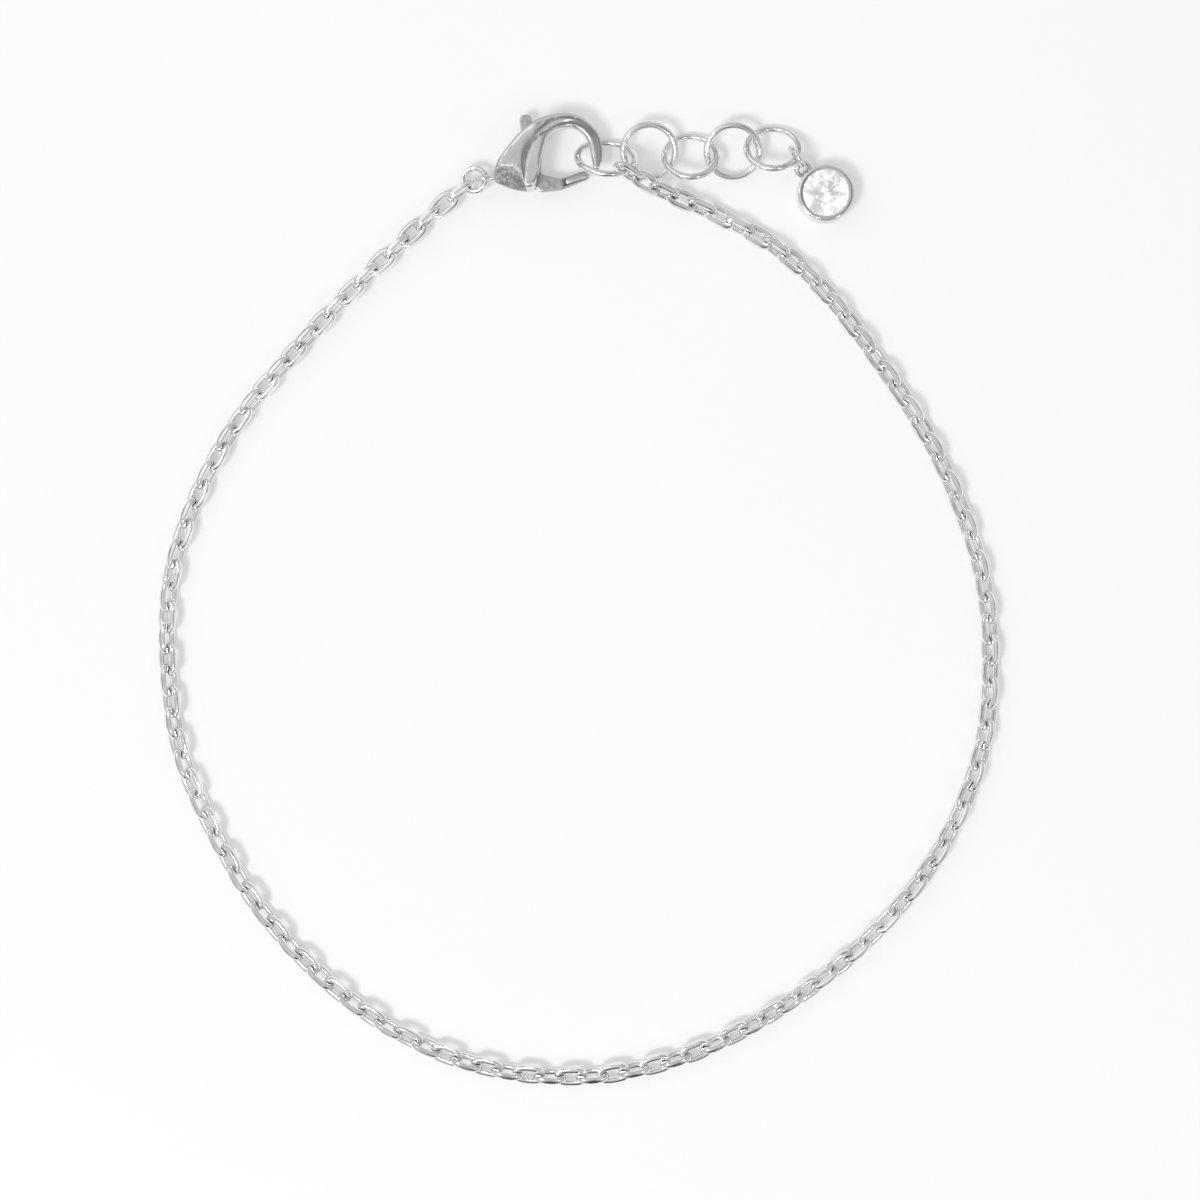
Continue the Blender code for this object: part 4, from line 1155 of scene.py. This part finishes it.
class BRACELET_PG_stage(PropertyGroup):
    """Floor, light and camera."""

    floor_size: length("Floor size", "Side of the white board", 3.0)
    floor_drop: length("Floor drop", "How far the board lies under the solids", 0.01 * MM)
    floor_colour: colour("Floor colour", "Tone of the board", (0.48, 0.48, 0.48))
    floor_glow: amount("Floor glow", "Light that comes up through the board", 0.375)
    air: amount("Air", "Strength of the studio's own light", 0.9)
    overhead: amount("Overhead", "Tone straight overhead", 0.74)
    around: amount("Around", "Tone halfway up all round", 0.72)
    horizon: amount("Horizon", "Tone low down all round", 0.30)
    right_patch: patch("Dark patch at the right", (8, 66, 20, 0.38))
    front_patch: patch("Dark patch at the front", (-85, 14, 22, 0.12))
    left_patch: patch("Bright patch at the left", (145, 38, 21, 1.8))
    key_azimuth: amount("Key azimuth", "Direction of the main light from +X, in degrees", 222)
    key_elevation: amount("Key elevation", "Height of the main light, in degrees", 57)
    key_size: length("Key size", "Side of the main light", 0.3)
    key_power: amount("Key power", "Power of the main light in watts", 8.9)
    spark_size: length("Spark size", "Side of each small light", 0.045)
    spark_power: amount("Spark power", "Power of each small light in watts", 0.14)
    lens: amount("Lens", "Focal length in millimetres", 100)
    view_x: length("View X", "Where the camera stands over the bracelet", 1.372 * MM)
    view_y: length("View Y", "Where the camera stands over the bracelet", 0.049 * MM)
    view_width: length("View width", "Width of floor that the camera sees", 78.43 * MM)


class BRACELET_PG_settings(PropertyGroup):
    """All the settings together."""

    chain: PointerProperty(type=BRACELET_PG_chain)
    rings: PointerProperty(type=BRACELET_PG_rings)
    clasp: PointerProperty(type=BRACELET_PG_clasp)
    drop: PointerProperty(type=BRACELET_PG_drop)
    metal: PointerProperty(type=BRACELET_PG_metal)
    stage: PointerProperty(type=BRACELET_PG_stage)


class BRACELET_OT_chain(Operator):
    """Lay the chain's cut links along their route"""

    bl_idname = "bracelet.chain"
    bl_label = "Lay Chain"

    def execute(self, context):
        build_chain(context.scene.bracelet)
        return {"FINISHED"}


class BRACELET_OT_rings(Operator):
    """Bend the extender's rings and the two jump rings"""

    bl_idname = "bracelet.rings"
    bl_label = "Bend Rings"

    def execute(self, context):
        build_rings(context.scene.bracelet)
        return {"FINISHED"}


class BRACELET_OT_clasp(Operator):
    """Cast the clasp's body, with its slot, pin and tail eye"""

    bl_idname = "bracelet.clasp"
    bl_label = "Cast Clasp"

    def execute(self, context):
        build_clasp(context.scene.bracelet)
        return {"FINISHED"}


class BRACELET_OT_lever(Operator):
    """Cut the clasp's lever, which turns on the hinge"""

    bl_idname = "bracelet.lever"
    bl_label = "Cut Lever"

    def execute(self, context):
        build_lever(context.scene.bracelet)
        return {"FINISHED"}


class BRACELET_OT_setting(Operator):
    """Turn the drop's bezel cup and its eye"""

    bl_idname = "bracelet.setting"
    bl_label = "Turn Bezel Cup"

    def execute(self, context):
        build_setting(context.scene.bracelet)
        return {"FINISHED"}


class BRACELET_OT_stone(Operator):
    """Cut the drop's brilliant stone"""

    bl_idname = "bracelet.stone"
    bl_label = "Cut Stone"

    def execute(self, context):
        build_stone(context.scene.bracelet)
        return {"FINISHED"}


class BRACELET_OT_stage(Operator):
    """Set up the floor, the light and the camera"""

    bl_idname = "bracelet.stage"
    bl_label = "Set Stage"

    def execute(self, context):
        build_stage(context.scene.bracelet)
        return {"FINISHED"}


OPERATORS = (
    BRACELET_OT_chain,
    BRACELET_OT_rings,
    BRACELET_OT_clasp,
    BRACELET_OT_lever,
    BRACELET_OT_setting,
    BRACELET_OT_stone,
    BRACELET_OT_stage,
)


class BRACELET_PT_sidebar(Panel):
    """Builds the bracelet piece by piece"""

    bl_idname = "BRACELET_PT_sidebar"
    bl_label = "Bracelet"
    bl_space_type = "VIEW_3D"
    bl_region_type = "UI"
    bl_category = "Bracelet"

    def draw(self, context):
        for operator in OPERATORS:
            self.layout.operator(operator.bl_idname)
        for group in ("chain", "rings", "clasp", "drop", "metal", "stage"):
            box = self.layout.box()
            box.label(text=group.capitalize())
            settings = getattr(context.scene.bracelet, group)
            for name in settings.__annotations__:
                box.prop(settings, name)


CLASSES = (
    BRACELET_PG_chain,
    BRACELET_PG_rings,
    BRACELET_PG_clasp,
    BRACELET_PG_drop,
    BRACELET_PG_metal,
    BRACELET_PG_stage,
    BRACELET_PG_settings,
    *OPERATORS,
    BRACELET_PT_sidebar,
)


def register():
    for cls in CLASSES:
        bpy.utils.register_class(cls)
    bpy.types.Scene.bracelet = PointerProperty(type=BRACELET_PG_settings)


def unregister():
    del bpy.types.Scene.bracelet
    for cls in reversed(CLASSES):
        bpy.utils.unregister_class(cls)


def main():
    register()
    bpy.ops.bracelet.chain()
    bpy.ops.bracelet.rings()
    bpy.ops.bracelet.clasp()
    bpy.ops.bracelet.lever()
    bpy.ops.bracelet.setting()
    bpy.ops.bracelet.stone()
    bpy.ops.bracelet.stage()


if __name__ == "__main__":
    main()
